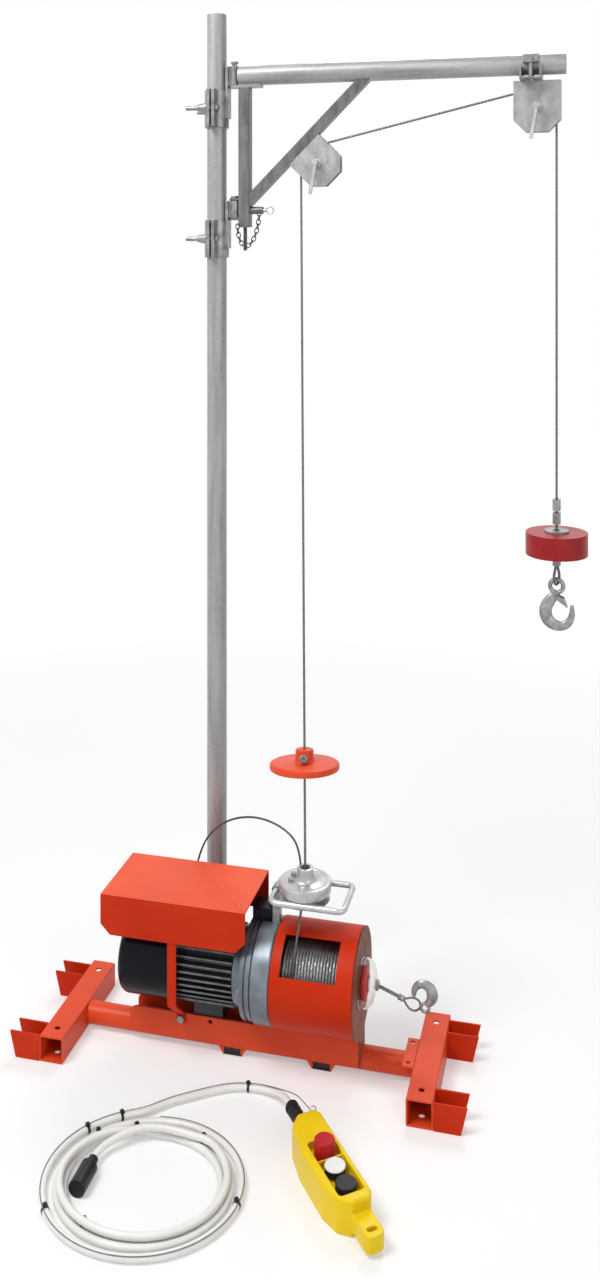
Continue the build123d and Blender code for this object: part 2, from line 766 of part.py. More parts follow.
with BuildPart() as axle_pin_tip:
    with BuildSketch(tip_plane.offset(-cheek_out - SEAT)):
        Circle(AXLE_D / 2)
    extrude(amount=pin_front + cheek_out + SEAT)
    for boss_face in (cheek_out + SEAT, -cheek_out - SEAT - PIN_BOSS_T):
        with BuildSketch(tip_plane.offset(boss_face)):
            Circle(PIN_BOSS_D / 2)
        extrude(amount=PIN_BOSS_T)
    handle_plane = Plane(
        origin=(TIP_PULLEY_X, PIN_HANDLE_D - pin_front, TIP_PULLEY_Z),
        z_dir=(-PIN_HANDLE_LEAN, 0, -PIN_HANDLE_DROP),
    )
    with BuildSketch(handle_plane):
        Circle(PIN_HANDLE_D / 2)
    extrude(amount=PIN_HANDLE_DROP)
axle_pin_tip.part.label = "axle_pin_tip"

# Lock pin with its pull ring, drop pin and retaining chain
lock_tip_x = HINGE_X + SLEEVE_D / 2 + CLEAR
lock_end_x = LOCK_SLEEVE_END + LOCK_PIN_D
lock_ring_r = (LOCK_RING_D - LOCK_RING_WIRE) / 2
with BuildPart() as lock_pin:
    with BuildSketch(lock_plane.offset(lock_tip_x - arm_start)):
        Circle(LOCK_PIN_D / 2)
    extrude(amount=lock_end_x - lock_tip_x)
    with Locations(Location((lock_end_x + lock_ring_r, 0, LOCK_PIN_Z), (90, 0, 0))):
        Torus(lock_ring_r, LOCK_RING_WIRE / 2)
lock_pin.part.label = "lock_pin"

drop_pin_top = UPRIGHT_FOOT_Z + DROP_TAB_T + SEAT
link_pitch = LINK_L - 2 * LINK_WIRE - CLEAR
link_lift = Vector(0, 0, (LINK_L - LINK_WIRE - link_pitch) / 2)
chain_start = Vector(lock_staple[0], -staple_reach, lock_staple[1]) + link_lift
chain_end = Vector(foot_staple[0], -staple_reach, foot_staple[1]) + link_lift
chain_steps = 400


def chain_curve(depth):
    """Points of the hanging chain, from the lock pin's staple to the foot's staple."""
    curve = []
    for step in range(chain_steps + 1):
        angle = math.pi * step / chain_steps
        across = (1 - math.cos(angle)) / 2
        sag = Vector(0, 0, -depth * math.sin(angle))
        curve.append(chain_start + (chain_end - chain_start) * across + sag)
    return curve


def link_joints(curve):
    """Points a link's pitch apart along a curve."""
    joints = [curve[0]]
    for point in curve:
        if (point - joints[-1]).length >= link_pitch:
            joints.append(point)
    return joints


shallow, deep = 0.0, CHAIN_LINKS * link_pitch
for halving in range(20):
    chain_depth = (shallow + deep) / 2
    if len(link_joints(chain_curve(chain_depth))) > CHAIN_LINKS:
        deep = chain_depth
    else:
        shallow = chain_depth
chain_joints = link_joints(chain_curve(deep))
with BuildPart() as chain_link:
    with BuildSketch():
        SlotOverall(LINK_L, LINK_W, rotation=90)
        SlotOverall(LINK_L - 2 * LINK_WIRE, LINK_W - 2 * LINK_WIRE, rotation=90, mode=Mode.SUBTRACT)
    extrude(amount=LINK_WIRE / 2, both=True)
    link_edges = chain_link.edges().group_by(Axis.Z)
    chamfer(link_edges[0] + link_edges[-1], LINK_EDGE)
with BuildPart() as lock_chain:
    with BuildSketch(Plane.XY.offset(drop_pin_top)):
        with Locations((upright_mid, 0)):
            Circle(DROP_PIN_D * 0.8)
    extrude(amount=DROP_PIN_D / 2)
    with BuildSketch(Plane.XY.offset(drop_pin_top)):
        with Locations((upright_mid, 0)):
            Circle(DROP_PIN_D / 2)
    extrude(amount=-DROP_PIN_L)
    for number, (upper, lower) in enumerate(zip(chain_joints, chain_joints[1:])):
        pull = (lower - upper).normalized()
        facing = pull.cross(Vector(0, 1, 0)) if number % 2 else Vector(0, 1, 0)
        link_plane = Plane(origin=(upper + lower) * 0.5, x_dir=pull.cross(facing), z_dir=facing)
        with Locations(link_plane.location):
            add(chain_link.part)
lock_chain.part.label = "lock_chain"

# Rope: drum to guide, up to the inner pulley, along the jib, over the tip pulley and down
guide_low = BAIL_Z + BAIL_D / 2 + SEAT
kink_z = guide_low + KINK_UP
wound_r = WINDING_R + rope_r + CLEAR
guide_reach = math.hypot(GUIDE_Y, kink_z - AXIS_Z)
leave_angle = math.atan2(kink_z - AXIS_Z, GUIDE_Y) + math.acos(wound_r / guide_reach)
rope_leave = Vector(
    WINCH_X + ROPE_LEAVE_X,
    WINCH_Y + wound_r * math.cos(leave_angle),
    AXIS_Z + wound_r * math.sin(leave_angle),
)
rope_guide = Vector(WINCH_X + GUIDE_X, WINCH_Y + GUIDE_Y, kink_z)
rope_top = Vector(rise_x, 0, inner_pulley_z - ROPE_LEAD_IN)
rise_span = rope_top - rope_guide


def rise_point(z):
    """Point of the straight rising rope at a height."""
    return rope_guide + rise_span * ((z - kink_z) / rise_span.Z)


with BuildPart() as rope_rise:
    with BuildLine() as rise_path:
        FilletPolyline(rope_leave, rope_guide, rise_point(ROPE_SPLIT_Z), radius=ROPE_BEND)
    with BuildSketch(Plane(origin=rise_path.line @ 0, z_dir=rise_path.line % 0)):
        Circle(rope_r)
    sweep(path=rise_path.line)
rope_rise.part.label = "rope_rise"

run_turn = math.degrees(run_angle)
inner_axle = Plane(origin=(INNER_PULLEY_X, 0, inner_pulley_z), x_dir=(1, 0, 0), z_dir=(0, -1, 0))
stub_length = (rope_top - rise_point(ROPE_SPLIT_Z + SEAT)).length
with BuildPart() as rope_run:
    with BuildLine() as run_path:
        over_inner = CenterArc((0, 0), PULLEY_R, 180, run_turn - 90, mode=Mode.PRIVATE)
        over_tip = CenterArc((0, 0), PULLEY_R, 90 + run_turn, -90 - run_turn, mode=Mode.PRIVATE)
        first = add(inner_axle.location * over_inner)
        last = add(tip_plane.location * over_tip)
        Line(rope_top, first.edges()[0] @ 0)
        Line(first.edges()[0] @ 1, last.edges()[0] @ 0)
    with BuildSketch(Plane(origin=rope_top)):
        Circle(rope_r)
    sweep(path=run_path.wire())
    with BuildSketch(Plane(origin=rope_top, z_dir=-rise_span).offset(CLEAR)):
        Circle(rope_r)
    extrude(amount=stub_length - CLEAR)
rope_run.part.label = "rope_run"

fall_top = TIP_PULLEY_Z - SEAT
fall_foot = CLIP_TOP_Z + ROPE_D
with BuildPart() as rope_fall:
    with BuildSketch(Plane.XY.offset(fall_foot + SEAT)):
        with Locations((fall_x, 0)):
            Circle(rope_r)
    extrude(amount=fall_top - fall_foot - SEAT)
rope_fall.part.label = "rope_fall"

# Hook rope: the rope's end through the clips and the weight, round the hook's eye and back up
eye_section = (EYE_D - EYE_HOLE) / 2
loop_low = EYE_Z + EYE_HOLE / 2 - rope_r - CLEAR
loop_half = eye_section / 2 + rope_r + 2 * CLEAR
loop_bend = loop_half - CLEAR
neck_z = WEIGHT_Z - CLIP_H
with BuildPart() as hook_rope:
    loop_plane = Plane(origin=(fall_x, 0, 0), x_dir=(0, 1, 0), z_dir=(1, 0, 0))
    with BuildLine(loop_plane) as loop_path:
        FilletPolyline(
            (0, fall_foot),
            (0, neck_z),
            (hook_y - loop_half, loop_low + loop_bend + ROPE_D),
            (hook_y - loop_half, loop_low),
            (hook_y + loop_half, loop_low),
            (hook_y + loop_half, loop_low + loop_bend + ROPE_D),
            (STRAND_GAP, neck_z),
            (STRAND_GAP, fall_foot),
            radius=[ROPE_D, ROPE_D, loop_bend, loop_bend, ROPE_D, ROPE_D],
        )
    with BuildSketch(Plane(origin=(fall_x, 0, fall_foot), z_dir=(0, 0, -1))):
        Circle(rope_r)
    sweep(path=loop_path.line)
hook_rope.part.label = "hook_rope"

# Rope clips: two above the weight, one under it that carries it, and the weight's washer
clip_depth = STRAND_GAP + 2 * ROPE_D
with BuildPart() as rope_clips:
    for clip_low, clip_height in (
        (CLIP_TOP_Z - CLIP_H, CLIP_H),
        (CLIP_TOP_Z - CLIP_H - CLIP_PITCH, CLIP_H),
        (neck_z + SEAT, CLIP_H - 2 * SEAT),
    ):
        with BuildSketch(Plane.XY.offset(clip_low)):
            with Locations((fall_x, hook_y)):
                RectangleRounded(CLIP_W, clip_depth + ROPE_D, ROPE_D)
            with Locations(Location((fall_x, hook_y), 90)):
                SlotCenterToCenter(STRAND_GAP, ROPE_D + 2 * SEAT, mode=Mode.SUBTRACT)
        extrude(amount=clip_height)
    with BuildSketch(Plane.XY.offset(WEIGHT_Z + WEIGHT_H + SEAT)):
        with Locations((fall_x, hook_y)):
            Circle(WASHER_D / 2)
            Circle(WEIGHT_BORE / 2, mode=Mode.SUBTRACT)
    extrude(amount=WASHER_T)
rope_clips.part.label = "rope_clips"

with BuildPart() as counterweight:
    with BuildSketch(Plane.XY.offset(WEIGHT_Z)):
        with Locations((fall_x, hook_y)):
            Circle(WEIGHT_D / 2)
    extrude(amount=WEIGHT_H)
    fillet(counterweight.edges(), WEIGHT_EDGE)
    with BuildSketch(Plane.XY.offset(WEIGHT_Z)):
        with Locations((fall_x, hook_y)):
            Circle(WEIGHT_BORE / 2)
    extrude(amount=WEIGHT_H, mode=Mode.SUBTRACT)
counterweight.part.label = "counterweight"

# Load hook: round eye, heavy back on the left, point on the right, latch across the throat
hook_plane = Plane(origin=(fall_x, hook_y, HOOK_BOTTOM_Z), x_dir=(1, 0, 0), z_dir=(0, -1, 0))
hook_r = HOOK_W / 2
bowl = (HOOK_BOWL_SHIFT, HOOK_BOWL_Z)
eye_up = EYE_Z - HOOK_BOTTOM_Z
point_up = HOOK_POINT_Z
latch_pin = (HOOK_BOWL_SHIFT / 2 - LATCH_D, eye_up - EYE_D / 2 - LATCH_D)
with BuildPart() as load_hook:
    with BuildSketch(hook_plane):
        with Locations((0, hook_r)):
            Circle(hook_r)
        with BuildLine():
            Polyline(
                (-hook_r * 0.9, hook_r * 1.42),
                (-eye_section, eye_up - EYE_HOLE / 2),
                (eye_section, eye_up - EYE_HOLE / 2),
                (eye_section, eye_up - EYE_D / 2),
                (0, hook_r),
                close=True,
            )
        make_face()
        with Locations(bowl):
            Circle(HOOK_BOWL_R, mode=Mode.SUBTRACT)
        with BuildLine():
            Polyline(
                (HOOK_BOWL_SHIFT - HOOK_BOWL_R, bowl[1]),
                (eye_section / 2, eye_up - EYE_D / 2 - LATCH_D),
                (hook_r + HOOK_T, eye_up - EYE_D / 2),
                (hook_r * 0.9, point_up),
                (HOOK_BOWL_SHIFT + HOOK_BOWL_R, bowl[1]),
                close=True,
            )
        make_face(mode=Mode.SUBTRACT)
    extrude(amount=HOOK_T / 2, both=True)
    with Locations(Location((fall_x, hook_y, EYE_Z), (90, 0, 0))):
        Torus((EYE_D - eye_section) / 2, eye_section / 2)
    with BuildSketch(hook_plane.offset(HOOK_T)):
        with Locations((0, eye_up)):
            Circle(EYE_HOLE / 2)
    extrude(amount=-2 * HOOK_T, mode=Mode.SUBTRACT)
    with BuildSketch(hook_plane.offset(HOOK_T)):
        with Locations(latch_pin):
            Circle(LATCH_D / 2 + RUNNING)
    extrude(amount=-2 * HOOK_T, mode=Mode.SUBTRACT)
load_hook.part.label = "load_hook"

# Latch: two ears beside the neck on one pin, joined by a tongue that closes the throat
latch_ear = HOOK_T / 2 + CLEAR
tongue_start = (latch_pin[0] + LATCH_D * 3.4, latch_pin[1] - LATCH_D * 1.2)
tongue_end = (HOOK_BOWL_SHIFT + HOOK_BOWL_R - LATCH_T - CLEAR, point_up - LATCH_D * 1.6)
with BuildPart() as hook_latch:
    for ear_face in (latch_ear, -latch_ear - LATCH_T):
        with BuildSketch(hook_plane.offset(ear_face)):
            with Locations(latch_pin):
                Circle(LATCH_D)
            with BuildLine():
                Polyline(
                    (latch_pin[0], latch_pin[1] + LATCH_D),
                    (tongue_start[0] + LATCH_T, tongue_start[1] + LATCH_D / 2),
                    (tongue_end[0], tongue_end[1]),
                    (latch_pin[0], latch_pin[1] - LATCH_D),
                    close=True,
                )
            make_face()
        extrude(amount=LATCH_T)
    with BuildSketch(hook_plane):
        with BuildLine():
            Polyline(
                tongue_start,
                (tongue_start[0] + LATCH_T, tongue_start[1] + LATCH_D / 2),
                tongue_end,
                (tongue_end[0] - LATCH_T, tongue_end[1]),
                close=True,
            )
        make_face()
    extrude(amount=latch_ear + LATCH_T, both=True)
    with BuildSketch(hook_plane):
        with Locations(latch_pin):
            Circle(LATCH_D / 2)
    extrude(amount=latch_ear + LATCH_T, both=True)
hook_latch.part.label = "hook_latch"

# Stop disc: clamped on the rising rope, trips the limit bail at the top of the lift
stop_plane = Plane(origin=rise_point(STOP_DISC_Z), x_dir=(1, 0, 0), z_dir=rise_span)
with BuildPart() as stop_disc:
    with BuildSketch(stop_plane.offset(-STOP_DISC_T / 2)):
        Circle(STOP_DISC_D / 2)
    extrude(amount=STOP_DISC_T)
    fillet(stop_disc.edges(), STOP_DISC_T / 8)
    with BuildSketch(stop_plane.offset(STOP_DISC_T / 2)):
        Circle(STOP_HUB_D / 2)
    extrude(amount=STOP_HUB_H)
    with BuildSketch(stop_plane.offset(-STOP_DISC_T / 2)):
        Circle(rope_r + CLEAR)
    extrude(amount=STOP_DISC_T + STOP_HUB_H, mode=Mode.SUBTRACT)
stop_disc.part.label = "stop_disc"

# Ground frame: two cross beams with cradles, joined by a round spine
with BuildPart() as cross_beams:
    with BuildSketch(winch_side(BEAM_L / 2)):
        with Locations((-BEAM_X, BEAM_SIDE / 2), (BEAM_X, BEAM_SIDE / 2)):
            RectangleRounded(BEAM_SIDE, BEAM_SIDE, BEAM_WALL)
            inner_side = BEAM_SIDE - 2 * BEAM_WALL
            Rectangle(inner_side, inner_side, mode=Mode.SUBTRACT)
    extrude(amount=BEAM_L)
    with BuildSketch(winch_top(0)):
        with GridLocations(2 * BEAM_X, BEAM_L - 2 * BEAM_HOLE_INSET, 2, 2):
            Circle(BEAM_HOLE_D / 2)
    extrude(amount=BEAM_SIDE, mode=Mode.SUBTRACT)
cross_beams.part.label = "cross_beams"

cradle_root = BEAM_X + BEAM_SIDE / 2 + SEAT
with BuildPart() as cradle_brackets:
    for side in (-1, 1):
        for cradle_y in (CRADLE_FRONT_Y, CRADLE_BACK_Y):
            for plate_y in (cradle_y + CRADLE_GAP / 2 + CRADLE_T, cradle_y - CRADLE_GAP / 2):
                with BuildSketch(winch_side(plate_y)):
                    with BuildLine():
                        Polyline(
                            (side * cradle_root, 0),
                            (side * (cradle_root + CRADLE_L - CRADLE_SLANT), 0),
                            (side * (cradle_root + CRADLE_L), BEAM_SIDE),
                            (side * cradle_root, BEAM_SIDE),
                            close=True,
                        )
                    make_face()
                extrude(amount=CRADLE_T)
            with BuildSketch(winch_top(0)):
                with Locations(
                    (side * (cradle_root + (CRADLE_L - CRADLE_SLANT) / 2), cradle_y)
                ):
                    Rectangle(CRADLE_L - CRADLE_SLANT, CRADLE_GAP + CRADLE_T)
            extrude(amount=CRADLE_T)
cradle_brackets.part.label = "cradle_brackets"

spine_end = BEAM_X - BEAM_SIDE / 2 - SEAT
with BuildPart() as spine_tube:
    with BuildSketch(winch_across(-spine_end, SPINE_Z)):
        Circle(tube_r)
    extrude(amount=2 * spine_end)
    with BuildSketch(winch_top(SPINE_Z + tube_r - TUBE_WALL / 2)):
        with Locations((spine_end - FLANGE_L / 2, 0)):
            Rectangle(FLANGE_L, FLANGE_W)
        with Locations((spine_end - FLANGE_L / 2, 0)):
            with GridLocations(1, FLANGE_HOLE_SPAN, 1, 2):
                Circle(FLANGE_HOLE_D / 2, mode=Mode.SUBTRACT)
    extrude(amount=FLANGE_T)
    with BuildSketch(winch_across(-spine_end, SPINE_Z)):
        Circle(tube_r - TUBE_WALL)
    extrude(amount=2 * spine_end, mode=Mode.SUBTRACT)
spine_tube.part.label = "spine_tube"

# Saddle plates along both sides of the spine, with the pressed hats of the two feet under them
saddle_in = tube_r + SEAT
saddle_out = saddle_in + SADDLE_T
saddle_h = SADDLE_TOP - SADDLE_FOOT
with BuildPart() as saddle_plates:
    for plate_y in (-saddle_in, saddle_out):
        with BuildSketch(winch_side(plate_y)) as saddle_face:
            with Locations(
                ((SADDLE_LEFT + SADDLE_RIGHT) / 2, (SADDLE_TOP + SADDLE_FOOT) / 2)
            ):
                Rectangle(SADDLE_RIGHT - SADDLE_LEFT, saddle_h)
            fillet(saddle_face.vertices().group_by(Axis.X)[0], saddle_h / 3)
            with Locations((STRAP_X, STRAP_BOLT_Z), (SADDLE_HOLE_X, STRAP_BOLT_Z)):
                Circle(SADDLE_HOLE_D / 2, mode=Mode.SUBTRACT)
        extrude(amount=SADDLE_T)
    for foot_x in FOOT_X:
        with BuildSketch(winch_side(FOOT_W / 2)):
            with BuildLine():
                Polyline(
                    (foot_x - FOOT_L / 2, SADDLE_FOOT - SEAT),
                    (foot_x - PAD_L / 2 - FOOT_SHEET, PLATE_T + SEAT),
                    (foot_x + PAD_L / 2 + FOOT_SHEET, PLATE_T + SEAT),
                    (foot_x + FOOT_L / 2, SADDLE_FOOT - SEAT),
                    close=True,
                )
            make_face()
            with Locations((foot_x, PLATE_T + PAD_H / 2)):
                Rectangle(PAD_L + 2 * SEAT, PAD_H + 2 * SEAT, mode=Mode.SUBTRACT)
        extrude(amount=FOOT_W)
        with BuildSketch(winch_across(-spine_end, SPINE_Z)):
            Circle(tube_r + SEAT)
        extrude(amount=2 * spine_end, mode=Mode.SUBTRACT)
saddle_plates.part.label = "saddle_plates"

# Feet: rubber pads in the hats, on zinc plates

with BuildPart() as foot_pads:
    for foot_x in FOOT_X:
        with BuildSketch(winch_side(FOOT_W / 2 - FOOT_SHEET)):
            with Locations((foot_x, PLATE_T + SEAT + (PAD_H - SEAT) / 2)):
                Rectangle(PAD_L, PAD_H - SEAT)
        extrude(amount=FOOT_W - 2 * FOOT_SHEET)
        with BuildSketch(winch_across(-spine_end, SPINE_Z)):
            Circle(tube_r + SEAT)
        extrude(amount=2 * spine_end, mode=Mode.SUBTRACT)
        with BuildSketch(winch_top(0)):
            with Locations((foot_x, 0)):
                RectangleRounded(PAD_L + 2 * FOOT_SHEET, FOOT_W, PLATE_T)
        extrude(amount=PLATE_T)
foot_pads.part.label = "foot_pads"


# Motor: finned housing with a rear wall, drive-end shield, fan cover, stator, rotor and fan
shaft_r = SHAFT_D / 2
bearing_r = shaft_r + BEARING_RING
motor_bore = MOTOR_R - MOTOR_WALL
fin_r = MOTOR_R + FIN_H
wall_right = MOTOR_LEFT + BEARING_T
with BuildPart() as motor_housing:
    with BuildSketch(winch_across(MOTOR_LEFT, AXIS_Z)):
        Circle(MOTOR_R)
        for step in range(-FIN_ROWS, FIN_ROWS + 1):
            fin_at = step * FIN_PITCH
            reach = 2 * math.sqrt(fin_r**2 - fin_at**2)
            with Locations((0, fin_at)):
                Rectangle(reach, FIN_T)
            with Locations((fin_at, 0)):
                Rectangle(FIN_T, reach)
    extrude(amount=MOTOR_RIGHT - MOTOR_LEFT)
    with BuildSketch(winch_across(MOTOR_FOOT_X - MOTOR_FOOT_L / 2)):
        with Locations((0, (SADDLE_TOP + AXIS_Z) / 2)):
            Rectangle(2 * saddle_in - 2 * SEAT, AXIS_Z - SADDLE_TOP + 2 * MOTOR_WALL)
    extrude(amount=MOTOR_FOOT_L)
    with BuildSketch(winch_across(wall_right, AXIS_Z)):
        Circle(motor_bore)
    extrude(amount=MOTOR_RIGHT - wall_right, mode=Mode.SUBTRACT)
    with BuildSketch(winch_across(MOTOR_LEFT, AXIS_Z)):
        Circle(bearing_r + SEAT)
    extrude(amount=BEARING_T, mode=Mode.SUBTRACT)
motor_housing.part.label = "motor_housing"

with BuildPart() as fan_cover:
    with BuildSketch(winch_across(FAN_COVER_LEFT, AXIS_Z)):
        Circle(FAN_COVER_R)
    extrude(amount=MOTOR_LEFT - SEAT - FAN_COVER_LEFT)
    fillet(fan_cover.edges().group_by(Axis.X)[0], FAN_COVER_ROUND)
    offset(amount=-FAN_COVER_T, openings=fan_cover.faces().sort_by(Axis.X)[-1])
    with BuildSketch(winch_across(FAN_COVER_LEFT, AXIS_Z)):
        with PolarLocations((FAN_R + shaft_r) / 2, GRILLE_SLOTS):
            SlotOverall(FAN_R - 2 * shaft_r, GRILLE_W)
    extrude(amount=FAN_COVER_T, mode=Mode.SUBTRACT)
fan_cover.part.label = "fan_cover"

stator_in = motor_bore - SEAT - STATOR_T
stator_left = (wall_right + MOTOR_RIGHT - STATOR_L) / 2
with BuildPart() as stator:
    with BuildSketch(winch_across(stator_left, AXIS_Z)):
        Circle(motor_bore - SEAT)
        Circle(stator_in, mode=Mode.SUBTRACT)
    extrude(amount=STATOR_L)
stator.part.label = "stator"


def gear_outline(teeth, turn):
    """Involute spur gear of the common module, with one tooth's middle at the turn angle."""
    pitch_r = MODULE * teeth / 2
    base_r = pitch_r * math.cos(math.radians(PRESSURE_ANGLE))
    tip_r = pitch_r + ADDENDUM * MODULE
    root_r = pitch_r - 1.25 * MODULE
    tooth = (math.pi * MODULE - BACKLASH) / 2
    flank = [base_r + (tip_r - base_r) * step / 4 for step in range(5)]

    def half_angle(radius):
        roll = math.acos(min(1.0, base_r / radius))
        start = math.radians(PRESSURE_ANGLE)
        return tooth / (2 * pitch_r) + math.tan(start) - start - math.tan(roll) + roll

    rising = [(root_r, half_angle(base_r))] if root_r < base_r else []
    rising += [(radius, half_angle(radius)) for radius in flank if radius > root_r]
    points = []
    for number in range(teeth):
        middle = math.radians(turn) + 2 * math.pi * number / teeth
        for radius, half in rising:
            points.append((radius * math.cos(middle - half), radius * math.sin(middle - half)))
        for radius, half in reversed(rising):
            points.append((radius * math.cos(middle + half), radius * math.sin(middle + half)))
    with BuildSketch(mode=Mode.PRIVATE) as outline:
        with BuildLine():
            Polyline(*points, close=True)
        make_face()
    return outline.sketch


shield_right = FLANGE_RING_X - SEAT
pinion_root = MODULE * (PINION_1 / 2 - 1.25)
fan_right = MOTOR_LEFT - FAN_COVER_T
with BuildPart() as rotor:
    with BuildSketch(winch_across(stator_left, AXIS_Z)):
        Circle(stator_in - ROTOR_GAP)
    extrude(amount=STATOR_L)
    with BuildSketch(winch_across(fan_right - FAN_L, AXIS_Z)):
        Circle(shaft_r)
    extrude(amount=shield_right - fan_right + FAN_L)
    with BuildSketch(winch_across(shield_right, AXIS_Z)):
        Circle(pinion_root)
    extrude(amount=STAGE_1_X - shield_right)
    with BuildSketch(winch_across(STAGE_1_X, AXIS_Z)):
        add(gear_outline(PINION_1, 90))
    extrude(amount=STAGE_1_W)
rotor.part.label = "rotor"

with BuildPart() as cooling_fan:
    with BuildSketch(winch_across(fan_right - FAN_L, AXIS_Z)):
        Circle(2 * shaft_r)
        with PolarLocations((FAN_R + shaft_r) / 2, FAN_BLADES):
            Rectangle(FAN_R - shaft_r, FAN_BLADE_T)
        Circle(shaft_r, mode=Mode.SUBTRACT)
    extrude(amount=FAN_L - FAN_BLADE_T)
    with BuildSketch(winch_across(fan_right - FAN_BLADE_T, AXIS_Z)):
        Circle(FAN_R)
        Circle(shaft_r, mode=Mode.SUBTRACT)
    extrude(amount=-FAN_BLADE_T)
cooling_fan.part.label = "cooling_fan"

# Gear train housing: drive-end shield, flange ring and gear case
lay_r = LAYSHAFT_D / 2
lay_bearing_r = lay_r + BEARING_RING
drum_shaft_r = DRUM_SHAFT_D / 2
drum_bearing_r = drum_shaft_r + BEARING_RING
shield_wall = shield_right - BEARING_T
case_wall_x = CASE_END - BEARING_T - CASE_WALL
case_foot = SPINE_Z + tube_r + SEAT
with BuildPart() as motor_flange:
    ring_w = (CASE_X - FLANGE_RING_X) / 2
    for ring_left in (FLANGE_RING_X, FLANGE_RING_X + ring_w):
        with BuildSketch(winch_across(ring_left, AXIS_Z)):
            Circle(FLANGE_RING_R)
        extrude(amount=ring_w - RING_GROOVE)
    with BuildSketch(winch_across(FLANGE_RING_X, AXIS_Z)):
        Circle(FLANGE_RING_R - RING_GROOVE)
    extrude(amount=CASE_X - SEAT - FLANGE_RING_X)
    with BuildSketch(winch_across(FLANGE_RING_X, AXIS_Z)):
        Circle(gear_distance + MODULE * (GEAR_1 / 2 + 2))
        with PolarLocations(BOLT_RING_R, CASE_BOLTS):
            Circle(CASE_BOLT_D / 2 + SEAT)
    extrude(amount=CASE_X - FLANGE_RING_X, mode=Mode.SUBTRACT)
    with BuildSketch(winch_across(MOTOR_RIGHT + SEAT, AXIS_Z)):
        Circle(SHIELD_R)
    extrude(amount=shield_right - MOTOR_RIGHT - SEAT)
    with BuildSketch(winch_across(MOTOR_RIGHT + SEAT, AXIS_Z)):
        Circle(motor_bore)
    extrude(amount=shield_wall - MOTOR_RIGHT - SEAT, mode=Mode.SUBTRACT)
    with BuildSketch(winch_across(shield_wall, AXIS_Z)):
        Circle(bearing_r + SEAT)
        with Locations((0, gear_distance)):
            Circle(lay_bearing_r + SEAT)
    extrude(amount=BEARING_T, mode=Mode.SUBTRACT)
motor_flange.part.label = "motor_flange"

with BuildPart() as gearbox_housing:
    with BuildSketch(winch_across(CASE_X, AXIS_Z)):
        Circle(CASE_R)
    extrude(amount=CASE_END - CASE_X)
    fillet(gearbox_housing.edges().group_by(Axis.X)[-1], CASE_WALL)
    with BuildSketch(winch_across(CASE_X)):
        with Locations((0, (case_foot + AXIS_Z) / 2)):
            Rectangle(2 * saddle_in - 2 * SEAT, AXIS_Z - case_foot)
    extrude(amount=CASE_END - CASE_X)
    with BuildSketch(winch_across(CASE_X, AXIS_Z)):
        Circle(gear_distance + MODULE * (GEAR_1 / 2 + 2))
    extrude(amount=case_wall_x - CASE_X, mode=Mode.SUBTRACT)
    with BuildSketch(winch_across(case_wall_x, AXIS_Z)):
        with Locations((0, gear_distance)):
            Circle(lay_bearing_r + SEAT)
    extrude(amount=BEARING_T, mode=Mode.SUBTRACT)
    with BuildSketch(winch_across(CASE_END - BEARING_T, AXIS_Z)):
        Circle(drum_bearing_r + SEAT)
    extrude(amount=BEARING_T, mode=Mode.SUBTRACT)
    with BuildSketch(winch_across(case_wall_x, AXIS_Z)):
        Circle(drum_shaft_r + CLEAR)
    extrude(amount=CASE_END - case_wall_x, mode=Mode.SUBTRACT)
    with BuildSketch(winch_across(CASE_X, AXIS_Z)):
        with PolarLocations(BOLT_RING_R, CASE_BOLTS):
            Circle(CASE_BOLT_D / 2)
    extrude(amount=CASE_BOLT_D * 2, mode=Mode.SUBTRACT)
gearbox_housing.part.label = "gearbox_housing"

lay_axis_z = AXIS_Z + gear_distance
lay_left = shield_wall + SEAT
lay_right = case_wall_x + BEARING_T - CLEAR
with BuildPart() as layshaft:
    with BuildSketch(winch_across(lay_left, lay_axis_z)):
        Circle(lay_r)
    extrude(amount=lay_right - lay_left)
    with BuildSketch(winch_across(STAGE_1_X, lay_axis_z)):
        add(gear_outline(GEAR_1, 180 / GEAR_1 - 90))
    extrude(amount=STAGE_1_W)
    with BuildSketch(winch_across(STAGE_2_X, lay_axis_z)):
        add(gear_outline(PINION_2, -90))
    extrude(amount=STAGE_2_W)
layshaft.part.label = "layshaft"

# Drum with its shaft and gear, rope windings and bearings
plate_x = COVER_RIGHT + SEAT
shaft_end = plate_x + END_PLATE_T + DOME_DEPTH / 2
with BuildPart() as drum:
    with BuildSketch(winch_across(STAGE_2_X - BEARING_T / 3, AXIS_Z)):
        Circle(drum_shaft_r)
    extrude(amount=shaft_end - STAGE_2_X + BEARING_T / 3)
    with BuildSketch(winch_across(STAGE_2_X, AXIS_Z)):
        add(gear_outline(GEAR_2, 90 + 180 / GEAR_2))
    extrude(amount=STAGE_2_W)
    with BuildSketch(winch_across(DRUM_LEFT, AXIS_Z)):
        Circle(BARREL_R)
    extrude(amount=DRUM_RIGHT - DRUM_LEFT)
    for disc_left in (DRUM_LEFT, DRUM_RIGHT - DRUM_FLANGE_T):
        with BuildSketch(winch_across(disc_left, AXIS_Z)):
            Circle(DRUM_FLANGE_R)
        extrude(amount=DRUM_FLANGE_T)
drum.part.label = "drum"

